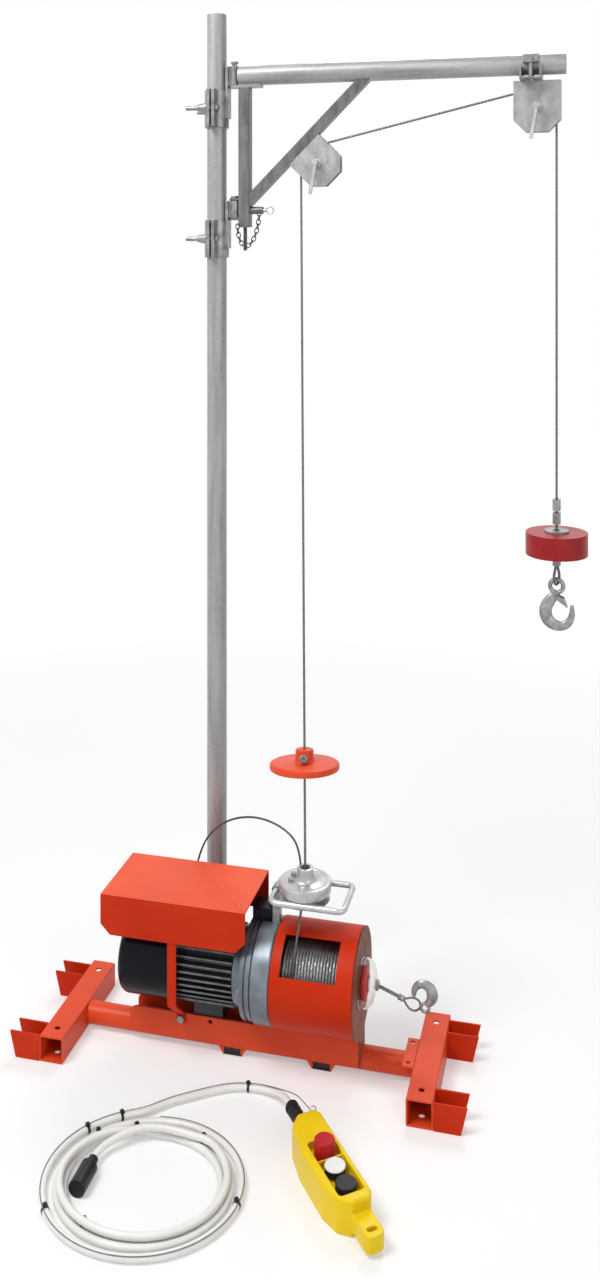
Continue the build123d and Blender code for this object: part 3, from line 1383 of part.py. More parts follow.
wound_left = DRUM_LEFT + DRUM_FLANGE_T + SEAT
wound_room = DRUM_RIGHT - DRUM_LEFT - 2 * (DRUM_FLANGE_T + SEAT)
turns = int(wound_room / WINDING_PITCH)
turn_w = wound_room / turns
with BuildPart() as rope_windings:
    with BuildSketch(winch_side(0, AXIS_Z)):
        with BuildLine():
            Line((wound_left + wound_room, WINDING_R - rope_r), (wound_left + wound_room, BARREL_R + SEAT))
            Line((wound_left + wound_room, BARREL_R + SEAT), (wound_left, BARREL_R + SEAT))
            Line((wound_left, BARREL_R + SEAT), (wound_left, WINDING_R - rope_r))
            for turn in range(turns):
                turn_x = wound_left + turn * turn_w
                ThreePointArc(
                    (turn_x, WINDING_R - rope_r),
                    (turn_x + turn_w / 2, WINDING_R),
                    (turn_x + turn_w, WINDING_R - rope_r),
                )
        make_face()
    revolve(axis=WINCH_AXIS)
rope_windings.part.label = "rope_windings"

with BuildPart() as shaft_bearings:
    for seat_x, seat_z, inner_r, outer_r in (
        (MOTOR_LEFT, AXIS_Z, shaft_r, bearing_r),
        (shield_wall, AXIS_Z, shaft_r, bearing_r),
        (shield_wall, lay_axis_z, lay_r, lay_bearing_r),
        (case_wall_x, lay_axis_z, lay_r, lay_bearing_r),
        (CASE_END - BEARING_T, AXIS_Z, drum_shaft_r, drum_bearing_r),
        (plate_x - BEARING_T + END_PLATE_T, AXIS_Z, drum_shaft_r, drum_bearing_r),
    ):
        with BuildSketch(winch_across(seat_x + SEAT, seat_z)):
            Circle(outer_r)
            Circle(inner_r + RUNNING, mode=Mode.SUBTRACT)
        extrude(amount=BEARING_T - 2 * SEAT)
shaft_bearings.part.label = "shaft_bearings"

# Drum cover, its end plate and the clear dome over the shaft's end
cover_left = CASE_END + SEAT
cover_foot = SADDLE_TOP + SEAT
with BuildPart() as drum_cover:
    with BuildSketch(winch_across(cover_left, AXIS_Z)):
        Circle(COVER_R)
        Circle(COVER_R - COVER_T, mode=Mode.SUBTRACT)
        with Locations((0, cover_foot - AXIS_Z - COVER_R)):
            Rectangle(2 * COVER_R, 2 * COVER_R, mode=Mode.SUBTRACT)
    extrude(amount=COVER_RIGHT - cover_left)
    low = math.radians(180 - WINDOW_LOW)
    high = math.radians(180 - WINDOW_HIGH)
    reach = COVER_R * 1.5
    with BuildSketch(winch_across(WINDOW_LEFT, AXIS_Z)):
        with BuildLine():
            Polyline(
                (0, 0),
                (reach * math.cos(low), reach * math.sin(low)),
                (reach * math.cos(high), reach * math.sin(high)),
                close=True,
            )
        make_face()
    extrude(amount=WINDOW_RIGHT - WINDOW_LEFT, mode=Mode.SUBTRACT)
drum_cover.part.label = "drum_cover"

with BuildPart() as cover_end_plate:
    with BuildSketch(winch_across(plate_x, AXIS_Z)):
        Circle(COVER_R)
        with Locations((0, cover_foot - AXIS_Z - COVER_R)):
            Rectangle(2 * COVER_R, 2 * COVER_R, mode=Mode.SUBTRACT)
        with Locations((0, (SADDLE_FOOT - AXIS_Z) / 2)):
            Rectangle(2 * saddle_out, AXIS_Z - SADDLE_FOOT)
        with Locations((0, SPINE_Z - AXIS_Z)):
            Circle(tube_r + SEAT, mode=Mode.SUBTRACT)
    extrude(amount=END_PLATE_T)
    with BuildSketch(winch_across(plate_x, AXIS_Z)):
        Circle(drum_bearing_r + BEARING_RING)
    extrude(amount=END_PLATE_T - BEARING_T)
    with BuildSketch(winch_across(plate_x + END_PLATE_T, AXIS_Z)):
        Circle(drum_bearing_r + SEAT)
    extrude(amount=-BEARING_T, mode=Mode.SUBTRACT)
cover_end_plate.part.label = "cover_end_plate"

dome_base = plate_x + END_PLATE_T + SEAT
with BuildPart() as clear_dome:
    for skin, mode in ((0, Mode.ADD), (DOME_T, Mode.SUBTRACT)):
        with BuildSketch(winch_side(0, AXIS_Z)):
            with BuildLine():
                Line((dome_base, 0), (dome_base, DOME_R - skin))
                Spline(
                    (dome_base, DOME_R - skin),
                    (dome_base + DOME_DEPTH - skin, 0),
                    tangents=((1, 0), (0, -1)),
                )
                Line((dome_base + DOME_DEPTH - skin, 0), (dome_base, 0))
            make_face()
        revolve(axis=WINCH_AXIS, mode=mode)
clear_dome.part.label = "clear_dome"


# Roof: folded sheet over the motor, held by a strap on each side
skirt_foot = ROOF_Z - SKIRT_H
with BuildPart() as roof:
    with BuildSketch(winch_across(ROOF_LEFT)):
        with Locations((0, ROOF_Z - SKIRT_H / 2)):
            Rectangle(2 * ROOF_HALF, SKIRT_H)
        with Locations((0, ROOF_Z - SKIRT_H / 2 - ROOF_T)):
            Rectangle(2 * (ROOF_HALF - ROOF_T), SKIRT_H, mode=Mode.SUBTRACT)
    extrude(amount=ROOF_RIGHT - ROOF_LEFT)
    with BuildSketch(winch_side(ROOF_HALF)):
        for corner_x, inward in ((ROOF_LEFT, 1), (ROOF_RIGHT, -1)):
            with BuildLine():
                Polyline(
                    (corner_x, skirt_foot),
                    (corner_x + inward * SKIRT_CUT, skirt_foot),
                    (corner_x, skirt_foot + SKIRT_CUT),
                    close=True,
                )
            make_face()
    extrude(amount=2 * ROOF_HALF, mode=Mode.SUBTRACT)
    with BuildSketch(winch_side(ROOF_HALF)):
        with Locations((LEAD_END_X, LEAD_END_Z)):
            Circle(LEAD_D / 2 + SEAT)
    extrude(amount=2 * ROOF_T, mode=Mode.SUBTRACT)
roof.part.label = "roof"

strap_foot_y = saddle_out + SEAT
strap_top_y = ROOF_HALF - ROOF_T - SEAT
strap_knee = STRAP_BOLT_Z + ROOF_STRAP_W / 2
with BuildPart() as roof_straps:
    with BuildSketch(winch_across(STRAP_X - ROOF_STRAP_W / 2)):
        for side in (-1, 1):
            with BuildLine():
                Polyline(
                    (side * strap_foot_y, STRAP_BOLT_Z - ROOF_STRAP_W / 2),
                    (side * strap_foot_y, strap_knee + ROOF_STRAP_T / 2),
                    (side * (strap_top_y - ROOF_STRAP_T), STRAP_BEND_Z + ROOF_STRAP_T / 2),
                    (side * (strap_top_y - ROOF_STRAP_T), skirt_foot + SKIRT_CUT),
                    (side * strap_top_y, skirt_foot + SKIRT_CUT),
                    (side * strap_top_y, STRAP_BEND_Z - ROOF_STRAP_T / 2),
                    (side * (strap_foot_y + ROOF_STRAP_T), strap_knee - ROOF_STRAP_T / 2),
                    (side * (strap_foot_y + ROOF_STRAP_T), STRAP_BOLT_Z - ROOF_STRAP_W / 2),
                    close=True,
                )
            make_face()
    extrude(amount=ROOF_STRAP_W)
    with BuildSketch(winch_side(ROOF_HALF)):
        with Locations((STRAP_X, STRAP_BOLT_Z)):
            Circle(SADDLE_HOLE_D / 2)
    extrude(amount=2 * ROOF_HALF, mode=Mode.SUBTRACT)
roof_straps.part.label = "roof_straps"

# Bolts of the stand: clamp bolts with cone nuts, gear case bolts and roof strap bolts
ear_face = CLAMP_SPLIT / 2 + EAR_T + SEAT
bolt_head_t = SWING_BOLT_D * 0.6
strap_bolt_face = strap_foot_y + ROOF_STRAP_T + SEAT
with BuildPart() as frame_bolts:
    for clamp_z in (UPPER_CLAMP_Z, LOWER_CLAMP_Z):
        for bolt_y in (-ear_mid, ear_mid):
            head_plane = Plane(origin=(ear_face, bolt_y, clamp_z), z_dir=(1, 0, 0))
            nut_plane = Plane(origin=(-ear_face, bolt_y, clamp_z), z_dir=(-1, 0, 0))
            with BuildSketch(head_plane):
                RegularPolygon(SWING_BOLT_D * 0.85, 6)
            extrude(amount=bolt_head_t)
            with BuildSketch(head_plane):
                Circle(SWING_BOLT_D / 2)
            extrude(amount=-(ear_face + SWING_BOLT_REACH))
            with BuildSketch(nut_plane):
                Circle(CONE_NUT_D / 2)
            with BuildSketch(nut_plane.offset(CONE_NUT_L)):
                Circle(CONE_NUT_D * 0.3)
            loft()
    with BuildSketch(winch_across(FLANGE_RING_X - SEAT, AXIS_Z)):
        with PolarLocations(BOLT_RING_R, CASE_BOLTS):
            RegularPolygon(CASE_BOLT_D * 0.9, 6)
    extrude(amount=-CASE_BOLT_D * 0.7)
    with BuildSketch(winch_across(FLANGE_RING_X - SEAT, AXIS_Z)):
        with PolarLocations(BOLT_RING_R, CASE_BOLTS):
            Circle(CASE_BOLT_D / 2)
    extrude(amount=CASE_X - FLANGE_RING_X + CASE_BOLT_D * 1.8)
    for side in (-1, 1):
        bolt_plane = Plane(
            origin=(WINCH_X + STRAP_X, WINCH_Y + side * strap_bolt_face, STRAP_BOLT_Z),
            x_dir=(1, 0, 0),
            z_dir=(0, side, 0),
        )
        with BuildSketch(bolt_plane):
            RegularPolygon(SADDLE_HOLE_D * 0.95, 6)
        extrude(amount=SADDLE_HOLE_D * 0.6)
        with BuildSketch(bolt_plane):
            Circle(SADDLE_HOLE_D / 2 - SEAT)
        extrude(amount=saddle_in - strap_bolt_face)
frame_bolts.part.label = "frame_bolts"

# Control box under the roof with the contactor and the motor's run capacitor in it
box_top = ROOF_Z - ROOF_T - SEAT
box_w = BOX_RIGHT - BOX_LEFT
box_mid = (BOX_LEFT + BOX_RIGHT) / 2
with BuildPart() as control_box:
    with BuildSketch(winch_top(BOX_Z)):
        with Locations((box_mid, 0)):
            RectangleRounded(box_w, 2 * BOX_HALF, 3 * BOX_WALL)
    extrude(amount=box_top - BOX_Z)
    with BuildSketch(winch_top(BOX_Z + BOX_WALL)):
        with Locations((box_mid, 0)):
            RectangleRounded(box_w - 2 * BOX_WALL, 2 * (BOX_HALF - BOX_WALL), 2 * BOX_WALL)
    extrude(amount=box_top - BOX_Z, mode=Mode.SUBTRACT)
control_box.part.label = "control_box"

box_floor = BOX_Z + BOX_WALL + SEAT
with BuildPart() as switchgear:
    with BuildSketch(winch_top(box_floor)):
        with Locations((BOX_LEFT + box_w / 4, 0)):
            Rectangle(CONTACTOR_W, CONTACTOR_L)
    extrude(amount=CONTACTOR_H)
    fillet(switchgear.edges().filter_by(Axis.Z), BOX_WALL)
    with BuildSketch(winch_side(CAPACITOR_L / 2)):
        with Locations((BOX_RIGHT - box_w / 4, box_floor + CAPACITOR_D / 2)):
            Circle(CAPACITOR_D / 2)
    extrude(amount=CAPACITOR_L)
switchgear.part.label = "switchgear"

# Limit switch on the gear case, the bail that works it and the rope guide on the bail
post_x = BAIL_PIVOT_X
bail_r = BAIL_D / 2
post_eye_r = bail_r + POST_T
with BuildPart() as limit_switch:
    with BuildSketch(winch_side(POST_HALF)):
        with Locations((post_x, (AXIS_Z + BAIL_Z) / 2)):
            Rectangle(POST_W, BAIL_Z - AXIS_Z)
        with Locations((post_x, BAIL_Z)):
            Circle(post_eye_r)
    extrude(amount=2 * POST_HALF)
    with BuildSketch(winch_across(post_x - POST_W, AXIS_Z)):
        Circle(CASE_R + SEAT)
    extrude(amount=2 * POST_W, mode=Mode.SUBTRACT)
    with BuildSketch(winch_side(POST_HALF)):
        with Locations((post_x, BAIL_Z)):
            Circle(bail_r + RUNNING)
    extrude(amount=2 * POST_HALF, mode=Mode.SUBTRACT)
    with BuildSketch(winch_top(SWITCH_Z)):
        with Locations(((SWITCH_LEFT + SWITCH_RIGHT) / 2, SWITCH_Y)):
            RectangleRounded(SWITCH_RIGHT - SWITCH_LEFT, 2 * SWITCH_HALF, BOX_WALL)
    extrude(amount=SWITCH_H)
    with BuildSketch(winch_top(SWITCH_Z + SWITCH_H)):
        with Locations((SWITCH_RIGHT - SWITCH_HALF / 2, SWITCH_Y)):
            Circle(SWITCH_KNOB_D / 2)
    extrude(amount=SWITCH_KNOB_D / 2, taper=20)
limit_switch.part.label = "limit_switch"

bail_level = winch_top(BAIL_Z)
with BuildPart() as limit_bail:
    corners = (
        (post_x, BAIL_FRONT),
        (BAIL_RIGHT, BAIL_FRONT),
        (BAIL_RIGHT, BAIL_BACK),
        (post_x, BAIL_BACK),
    )
    with BuildLine(bail_level) as bail_path:
        FilletPolyline(*corners, radius=BAIL_BEND, close=True)
    with BuildSketch(Plane(origin=bail_path.wire() @ 0, z_dir=bail_path.wire() % 0)):
        Circle(bail_r)
    sweep(path=bail_path.wire())
limit_bail.part.label = "limit_bail"

# Rope guide: disc with a hub on the bail, a neck through it and a dish with a wide mouth below
dish_top = BAIL_Z - bail_r - SEAT
dish_low = dish_top - DISH_T
guide_centre = (WINCH_X + GUIDE_X, WINCH_Y + GUIDE_Y)
with BuildPart() as guide_disc:
    with BuildSketch(winch_top(guide_low)):
        with Locations((GUIDE_X, GUIDE_Y)):
            Circle(GUIDE_D / 2)
    extrude(amount=GUIDE_T)
    fillet(guide_disc.edges(), GUIDE_EDGE)
    with BuildSketch(winch_top(guide_low + GUIDE_T)):
        with Locations((GUIDE_X, GUIDE_Y)):
            Circle(GUIDE_HUB_D / 2)
    extrude(amount=GUIDE_HUB_TOP - guide_low - GUIDE_T)
    with BuildSketch(winch_top(dish_top)):
        with Locations((GUIDE_X, GUIDE_Y)):
            Circle(GUIDE_NECK_D / 2)
    extrude(amount=guide_low - dish_top)
    with Locations((*guide_centre, (dish_low + dish_top) / 2)):
        Cone(GUIDE_NECK_D / 2, DISH_D / 2, DISH_T)
    with BuildSketch(winch_top(guide_low)):
        with Locations((GUIDE_X, GUIDE_Y)):
            Circle(GUIDE_BORE / 2)
    extrude(amount=GUIDE_HUB_TOP - guide_low, mode=Mode.SUBTRACT)
    with BuildSketch(winch_top(dish_low)):
        with Locations((GUIDE_X, GUIDE_Y)):
            Circle(GUIDE_MOUTH / 2)
    extrude(amount=guide_low - dish_low, mode=Mode.SUBTRACT)
guide_disc.part.label = "guide_disc"


# Cords: straight runs joined by arcs that are as large as the runs allow
def bend_radii(points):
    """Radius for each corner of a cord's route."""
    radii = []
    for before, corner, after in zip(points, points[1:], points[2:]):
        come = Vector(*corner) - Vector(*before)
        go = Vector(*after) - Vector(*corner)
        half_turn = math.radians(come.get_angle(go)) / 2
        radii.append(0.45 * min(come.length, go.length) / math.tan(half_turn))
    return radii


lead_route = [
    (GUIDE_X - 11.0, GUIDE_Y + 6.5, GUIDE_HUB_TOP + CLEAR),
    (GUIDE_X - 14.0, GUIDE_Y + 9.0, 406.0),
    (96.0, 14.0, 428.0),
    (52.0, 33.0, 440.0),
    (4.0, 51.0, 441.0),
    (-44.0, 67.0, 427.0),
    (-86.0, 82.0, 400.0),
    (-118.0, 97.0, 363.0),
    (-135.0, 108.0, 327.0),
    (LEAD_END_X, 108.0, LEAD_END_Z + 6.0),
    (LEAD_END_X, ROOF_HALF + 6.0, LEAD_END_Z),
    (LEAD_END_X, ROOF_HALF - 6.0, LEAD_END_Z),
]
lead_points = [(WINCH_X + x, WINCH_Y + y, z) for x, y, z in lead_route]
lead_radii = bend_radii(lead_points)
print("switch lead radii", [round(radius) for radius in lead_radii])
with BuildPart() as switch_lead:
    with BuildLine() as lead_path:
        FilletPolyline(*lead_points, radius=lead_radii)
    with BuildSketch(Plane(origin=lead_path.line @ 0, z_dir=lead_path.line % 0)):
        Circle(LEAD_D / 2)
    sweep(path=lead_path.line)
switch_lead.part.label = "switch_lead"

# Tether: short stiff double strand from the dome's tip to a spare hook
tether_x = dome_base + DOME_DEPTH + SEAT
tether_cos = math.cos(math.radians(TETHER_FALL))
tether_sin = math.sin(math.radians(TETHER_FALL))
tether_dir = Vector(tether_cos, 0, -tether_sin)
tether_start = Vector(WINCH_X + tether_x, WINCH_Y, AXIS_Z)
tether_plane = Plane(origin=tether_start, x_dir=(0, 1, 0), z_dir=tether_dir)
loop_r = TETHER_LOOP_D / 2
loop_reach = TETHER_L + loop_r
loop_place = (tether_x + tether_cos * loop_reach, AXIS_Z - tether_sin * loop_reach)
spare_x = tether_x + SPARE_AWAY
spare_z = AXIS_Z - SPARE_DROP
spare_eye = (spare_x, spare_z - SPARE_R)
spare_hole = (spare_x - SPARE_HOLE_SHIFT, spare_z)
with BuildPart() as tether_hook:
    with BuildSketch(winch_side(SPARE_T / 2)):
        with Locations((spare_x, spare_z)):
            Circle(SPARE_R)
        with Locations(spare_hole):
            Circle(SPARE_HOLE_R, mode=Mode.SUBTRACT)
        with BuildLine():
            Polyline(
                (spare_x - 2 * SPARE_R, spare_z - SPARE_R / 3),
                (spare_hole[0] - SPARE_HOLE_R, spare_z - SPARE_R / 3),
                spare_hole,
                (spare_x - SPARE_HOLE_SHIFT / 2, spare_z - SPARE_R / 3),
                (spare_hole[0], spare_z - 2 * SPARE_R),
                (spare_x - 2 * SPARE_R, spare_z - 2 * SPARE_R),
                close=True,
            )
        make_face(mode=Mode.SUBTRACT)
    extrude(amount=SPARE_T)
    with BuildSketch(winch_side(TETHER_EYE_T / 2)):
        with Locations(spare_eye):
            Circle(TETHER_EYE_D / 2)
            Circle(TETHER_EYE_D / 2 - TETHER_EYE_T, mode=Mode.SUBTRACT)
    extrude(amount=TETHER_EYE_T)
    with BuildSketch(winch_side(TETHER_D / 2)):
        with Locations(loop_place):
            Circle(loop_r + TETHER_D / 2)
            Circle(loop_r - TETHER_D / 2, mode=Mode.SUBTRACT)
    extrude(amount=TETHER_D)
    with BuildSketch(winch_across(tether_x, AXIS_Z)):
        Circle(2 * TETHER_D)
    extrude(amount=TETHER_D)
    with BuildSketch(tether_plane.offset(TETHER_D / 2)):
        with Locations((-TETHER_D * 0.6, 0), (TETHER_D * 0.6, 0)):
            Circle(TETHER_D / 2)
    extrude(amount=TETHER_L - TETHER_D / 4)
    with BuildSketch(tether_plane.offset(TETHER_L - 3 * TETHER_D)):
        SlotOverall(TETHER_D * 3, TETHER_D * 1.8)
    extrude(amount=2 * TETHER_D)
tether_hook.part.label = "tether_hook"

# Pendant: a handset lying on its back, sketch x along it from the cable end
pendant_floor = Plane(origin=(GLAND_X, GLAND_Y, 0)).rotated((0, 0, PENDANT_ANGLE))
body_end = GLAND_L + PENDANT_L
tail_end = body_end + TAIL_L
pocket_floor = PENDANT_H - POCKET_DEPTH
estop_at = GLAND_L + PENDANT_L * ESTOP_SHARE
up_at = estop_at + ESTOP_D / 2 + BUTTON_D / 2 + BUTTON_SPACE
down_at = up_at + BUTTON_D + BUTTON_SPACE
button_places = (estop_at, up_at, down_at)
pocket_left = estop_at - ESTOP_D / 2 - BUTTON_SPACE
pocket_right = down_at + BUTTON_D / 2 + BUTTON_SPACE
pocket_w = ESTOP_D + 2 * BUTTON_SPACE
bridge_at = estop_at + (ESTOP_D + BUTTON_SPACE) / 2

contact_top = pocket_floor - 2 * PENDANT_WALL - BUTTON_TRAVEL - 2 * CLEAR


def pendant_outline(inset):
    """Plan of the handset's body, straight on the right and bowed on the left, less the inset."""
    narrow = TAIL_W / 2
    shoulder = -PENDANT_LEFT * BOW_SHOULDER
    with BuildSketch(mode=Mode.PRIVATE) as outline:
        with BuildLine():
            Polyline(
                (GLAND_L, -narrow),
                (GLAND_L + PENDANT_L * BOW_STARTS, shoulder),
                (GLAND_L + PENDANT_L * BOW_FULL, -PENDANT_LEFT),
                (GLAND_L + PENDANT_L * BOW_FALLS, -PENDANT_LEFT),
                (GLAND_L + PENDANT_L * BOW_ENDS, shoulder),
                (body_end, -narrow),
                (body_end, narrow),
                (body_end - PENDANT_L * SIDE_BEVEL, PENDANT_RIGHT),
                (GLAND_L + PENDANT_L * SIDE_BEVEL, PENDANT_RIGHT),
                (GLAND_L, narrow),
                close=True,
            )
        make_face()
        fillet(outline.vertices(), narrow / 3)
        if inset:
            offset(amount=-inset, kind=Kind.INTERSECTION, mode=Mode.REPLACE)
    return outline.sketch


with BuildPart() as pendant_body:
    with BuildSketch(pendant_floor.offset(PENDANT_WALL + SEAT)):
        add(pendant_outline(0))
    extrude(amount=PENDANT_H - PENDANT_WALL - SEAT)
    fillet(pendant_body.faces().sort_by(Axis.Z)[-1].edges(), PENDANT_WALL * 2)
    with BuildSketch(pendant_floor.offset(TAIL_Z)):
        with Locations(((body_end + tail_end) / 2 - TAIL_W / 4, 0)):
            RectangleRounded(TAIL_L + TAIL_W / 2, TAIL_W, TAIL_W / 3)
    extrude(amount=TAIL_H)
    with BuildSketch(pendant_floor.offset(PENDANT_WALL + SEAT)):
        add(pendant_outline(PENDANT_WALL))
    extrude(amount=pocket_floor - 2 * PENDANT_WALL - SEAT, mode=Mode.SUBTRACT)
    with BuildSketch(pendant_floor.offset(pocket_floor)):
        with Locations(((pocket_left + pocket_right) / 2, BUTTON_Y)):
            RectangleRounded(pocket_right - pocket_left, pocket_w, 2 * PENDANT_WALL)
    extrude(amount=POCKET_DEPTH, mode=Mode.SUBTRACT)
    with BuildSketch(pendant_floor.offset(pocket_floor)):
        with Locations((bridge_at, BUTTON_Y)):
            Rectangle(BRIDGE_T, pocket_w + PENDANT_WALL)
    extrude(amount=POCKET_DEPTH - PENDANT_WALL)
    with BuildSketch(pendant_floor.offset(pocket_floor - PENDANT_WALL)):
        for place in button_places:
            with Locations((place, BUTTON_Y)):
                Circle(STEM_D / 2 + STEM_GAP)
    extrude(amount=PENDANT_WALL, mode=Mode.SUBTRACT)
    with BuildSketch(pendant_floor.offset(TAIL_Z)):
        with Locations((tail_end - TAIL_W / 2, 0)):
            SlotOverall(TAIL_SLOT_L, TAIL_SLOT_W, rotation=90)
    extrude(amount=TAIL_H, mode=Mode.SUBTRACT)
    with BuildSketch(pendant_floor):
        add(pendant_outline(0))
    extrude(amount=PENDANT_WALL)
    for place in button_places:
        with BuildSketch(pendant_floor.offset(PENDANT_WALL + 2 * SEAT)):
            with Locations((place, BUTTON_Y)):
                RectangleRounded(BUTTON_D * 0.8, BUTTON_D, PENDANT_WALL)
        extrude(amount=contact_top - PENDANT_WALL - 2 * SEAT - BUTTON_TRAVEL)
pendant_body.part.label = "pendant_body"

cap_low = pocket_floor + BUTTON_TRAVEL + CLEAR
with BuildPart() as estop_button:
    with BuildSketch(pendant_floor.offset(cap_low)):
        with Locations((estop_at, BUTTON_Y)):
            Circle(ESTOP_D / 2)
    extrude(amount=ESTOP_H)
    fillet(estop_button.edges().sort_by(Axis.Z)[-1], ESTOP_D / 10)
    with BuildSketch(pendant_floor.offset(contact_top)):
        with Locations((estop_at, BUTTON_Y)):
            Circle(STEM_D / 2)
    extrude(amount=cap_low - contact_top)
estop_button.part.label = "estop_button"

with BuildPart() as up_button:
    with BuildSketch(pendant_floor.offset(cap_low)):
        with Locations((up_at, BUTTON_Y)):
            Circle(BUTTON_D / 2)
    extrude(amount=BUTTON_H)
    fillet(up_button.edges().sort_by(Axis.Z)[-1], BUTTON_D / 16)
    with BuildSketch(pendant_floor.offset(contact_top)):
        with Locations((up_at, BUTTON_Y)):
            Circle(STEM_D / 2)
    extrude(amount=cap_low - contact_top)
up_button.part.label = "up_button"

with BuildPart() as down_button:
    with BuildSketch(pendant_floor.offset(cap_low)):
        with Locations((down_at, BUTTON_Y)):
            Circle(BUTTON_D / 2)
    extrude(amount=BUTTON_H)
    fillet(down_button.edges().sort_by(Axis.Z)[-1], BUTTON_D / 16)
    with BuildSketch(pendant_floor.offset(contact_top)):
        with Locations((down_at, BUTTON_Y)):
            Circle(STEM_D / 2)
    extrude(amount=cap_low - contact_top)
down_button.part.label = "down_button"

gland_plane = Plane(
    origin=(GLAND_X, GLAND_Y, GLAND_Z), x_dir=(0, 0, 1), z_dir=pendant_floor.x_dir
)
with BuildPart() as cable_gland:
    with BuildSketch(gland_plane):
        Circle(GLAND_D * 0.36)
    with BuildSketch(gland_plane.offset(GLAND_L - SEAT)):
        Circle(GLAND_D / 2)
    loft()
    for rib in range(1, GLAND_RIBS + 1):
        with BuildSketch(gland_plane.offset(GLAND_L * rib / (GLAND_RIBS + 1))):
            Circle(GLAND_D / 2)
        extrude(amount=GLAND_L / (GLAND_RIBS + 1) / 2)
cable_gland.part.label = "cable_gland"

# Pendant cable: along the floor from the gland to the coil, then the coil and its connector
cable_points = [
    (GLAND_X, GLAND_Y, GLAND_Z),
    (GLAND_X - 28.0 * pendant_floor.x_dir.X, GLAND_Y - 28.0 * pendant_floor.x_dir.Y, GLAND_Z),
    (214.0, -308.5, 12.0),
    (174.0, -301.0, 7.0),
    (134.0, -308.0, 7.0),
    (97.0, -329.0, 7.0),
    (62.0, -354.0, 7.0),
    (36.0, -372.0, 7.0),
    (10.0, -398.0, 7.0),
]
cable_radii = bend_radii(cable_points)
print("pendant cable radii", [round(radius) for radius in cable_radii])
coil_centre = Plane(origin=(COIL_X, COIL_Y, 0))
with BuildPart() as pendant_cable:
    with BuildLine() as cable_path:
        FilletPolyline(*cable_points, radius=cable_radii)
    with BuildSketch(Plane(origin=cable_path.line @ 0, z_dir=cable_path.line % 0)):
        Circle(CABLE_D / 2)
    sweep(path=cable_path.line)
    with BuildSketch(coil_centre):
        Circle(COIL_OUT + SEAT)
    extrude(amount=2 * COIL_H, mode=Mode.SUBTRACT)
pendant_cable.part.label = "pendant_cable"

with BuildPart() as cable_coil:
    with BuildSketch(coil_centre):
        Circle(COIL_OUT)
        Circle(COIL_IN, mode=Mode.SUBTRACT)
    extrude(amount=COIL_H)
    fillet(cable_coil.edges(), CABLE_D / 2)
cable_coil.part.label = "cable_coil"

plug_plane = Plane(
    origin=(COIL_X - COIL_IN + PLUG_D / 2 + CABLE_D, COIL_Y, PLUG_D / 2),
    x_dir=(1, 0, 0),
    z_dir=(0, -1, 0),
)
with BuildPart() as cable_plug:
    with BuildSketch(plug_plane):
        Circle(PLUG_D / 2)
    extrude(amount=PLUG_L)
    with BuildSketch(plug_plane):
        Circle(CABLE_D * 0.7)
    extrude(amount=-PLUG_L / 3)
cable_plug.part.label = "cable_plug"

pieces = (
    post,
    post_clamps,
    jib_arm,
    jib_upright,
    hinge_pins,
    jib_brace,
    pulley_blocks,
    tip_clamp,
    pulley_inner,
    pulley_tip,
    axle_pin_inner,
    axle_pin_tip,
    lock_pin,
    lock_chain,
    rope_rise,
    rope_run,
    rope_fall,
    hook_rope,
    rope_clips,
    counterweight,
    load_hook,
    hook_latch,
    stop_disc,
    cross_beams,
    cradle_brackets,
    spine_tube,
    saddle_plates,
    foot_pads,
    motor_housing,
    fan_cover,
    stator,
    rotor,
    cooling_fan,
    motor_flange,
    gearbox_housing,
    layshaft,
    drum,
    rope_windings,
    shaft_bearings,
    drum_cover,
    cover_end_plate,
    clear_dome,
    roof,
    roof_straps,
    frame_bolts,
    control_box,
    switchgear,
    limit_switch,
    limit_bail,
    guide_disc,
    switch_lead,
    tether_hook,
    pendant_body,
    estop_button,
    up_button,
    down_button,
    cable_gland,
    pendant_cable,
    cable_coil,
    cable_plug,
)
for piece in pieces:
    export_step(piece.part, f"parts/{piece.part.label}.step")
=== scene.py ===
# %% [markdown]
# # Rope hoist with a swinging jib
# The set has a galvanised post with a jib, a wire rope with hook and counterweight, an orange
# winch on a ground frame, and a yellow pendant on a white cable. The solids come from the packed
# model and stay where they are. This lesson gives them their finishes and models what solids
# alone can't show: laid rope, forged hooks, soft mouldings and loose cords.

import math

import bpy
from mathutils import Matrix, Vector


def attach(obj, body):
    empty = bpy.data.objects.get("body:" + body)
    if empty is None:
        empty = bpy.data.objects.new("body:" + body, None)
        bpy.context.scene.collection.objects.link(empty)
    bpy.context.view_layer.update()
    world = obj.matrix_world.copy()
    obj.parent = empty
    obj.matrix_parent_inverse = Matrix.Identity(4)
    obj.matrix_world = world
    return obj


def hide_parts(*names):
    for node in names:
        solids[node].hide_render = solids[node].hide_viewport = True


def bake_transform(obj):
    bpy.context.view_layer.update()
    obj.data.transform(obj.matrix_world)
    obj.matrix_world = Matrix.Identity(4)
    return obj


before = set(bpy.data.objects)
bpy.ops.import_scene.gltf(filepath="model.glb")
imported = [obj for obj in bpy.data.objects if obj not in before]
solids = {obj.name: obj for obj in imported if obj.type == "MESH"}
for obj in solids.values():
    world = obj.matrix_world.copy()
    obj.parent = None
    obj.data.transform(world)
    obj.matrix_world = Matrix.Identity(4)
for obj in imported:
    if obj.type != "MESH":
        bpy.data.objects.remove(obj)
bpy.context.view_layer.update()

# %% [markdown]
# ## Camera, light and floor
# The photograph was taken from standing height with the camera level, so upright edges stay
# upright. A tilted camera could frame the set too, but its uprights would lean. So the lens is
# shifted, by as much as the horizon stands above the middle of the picture.

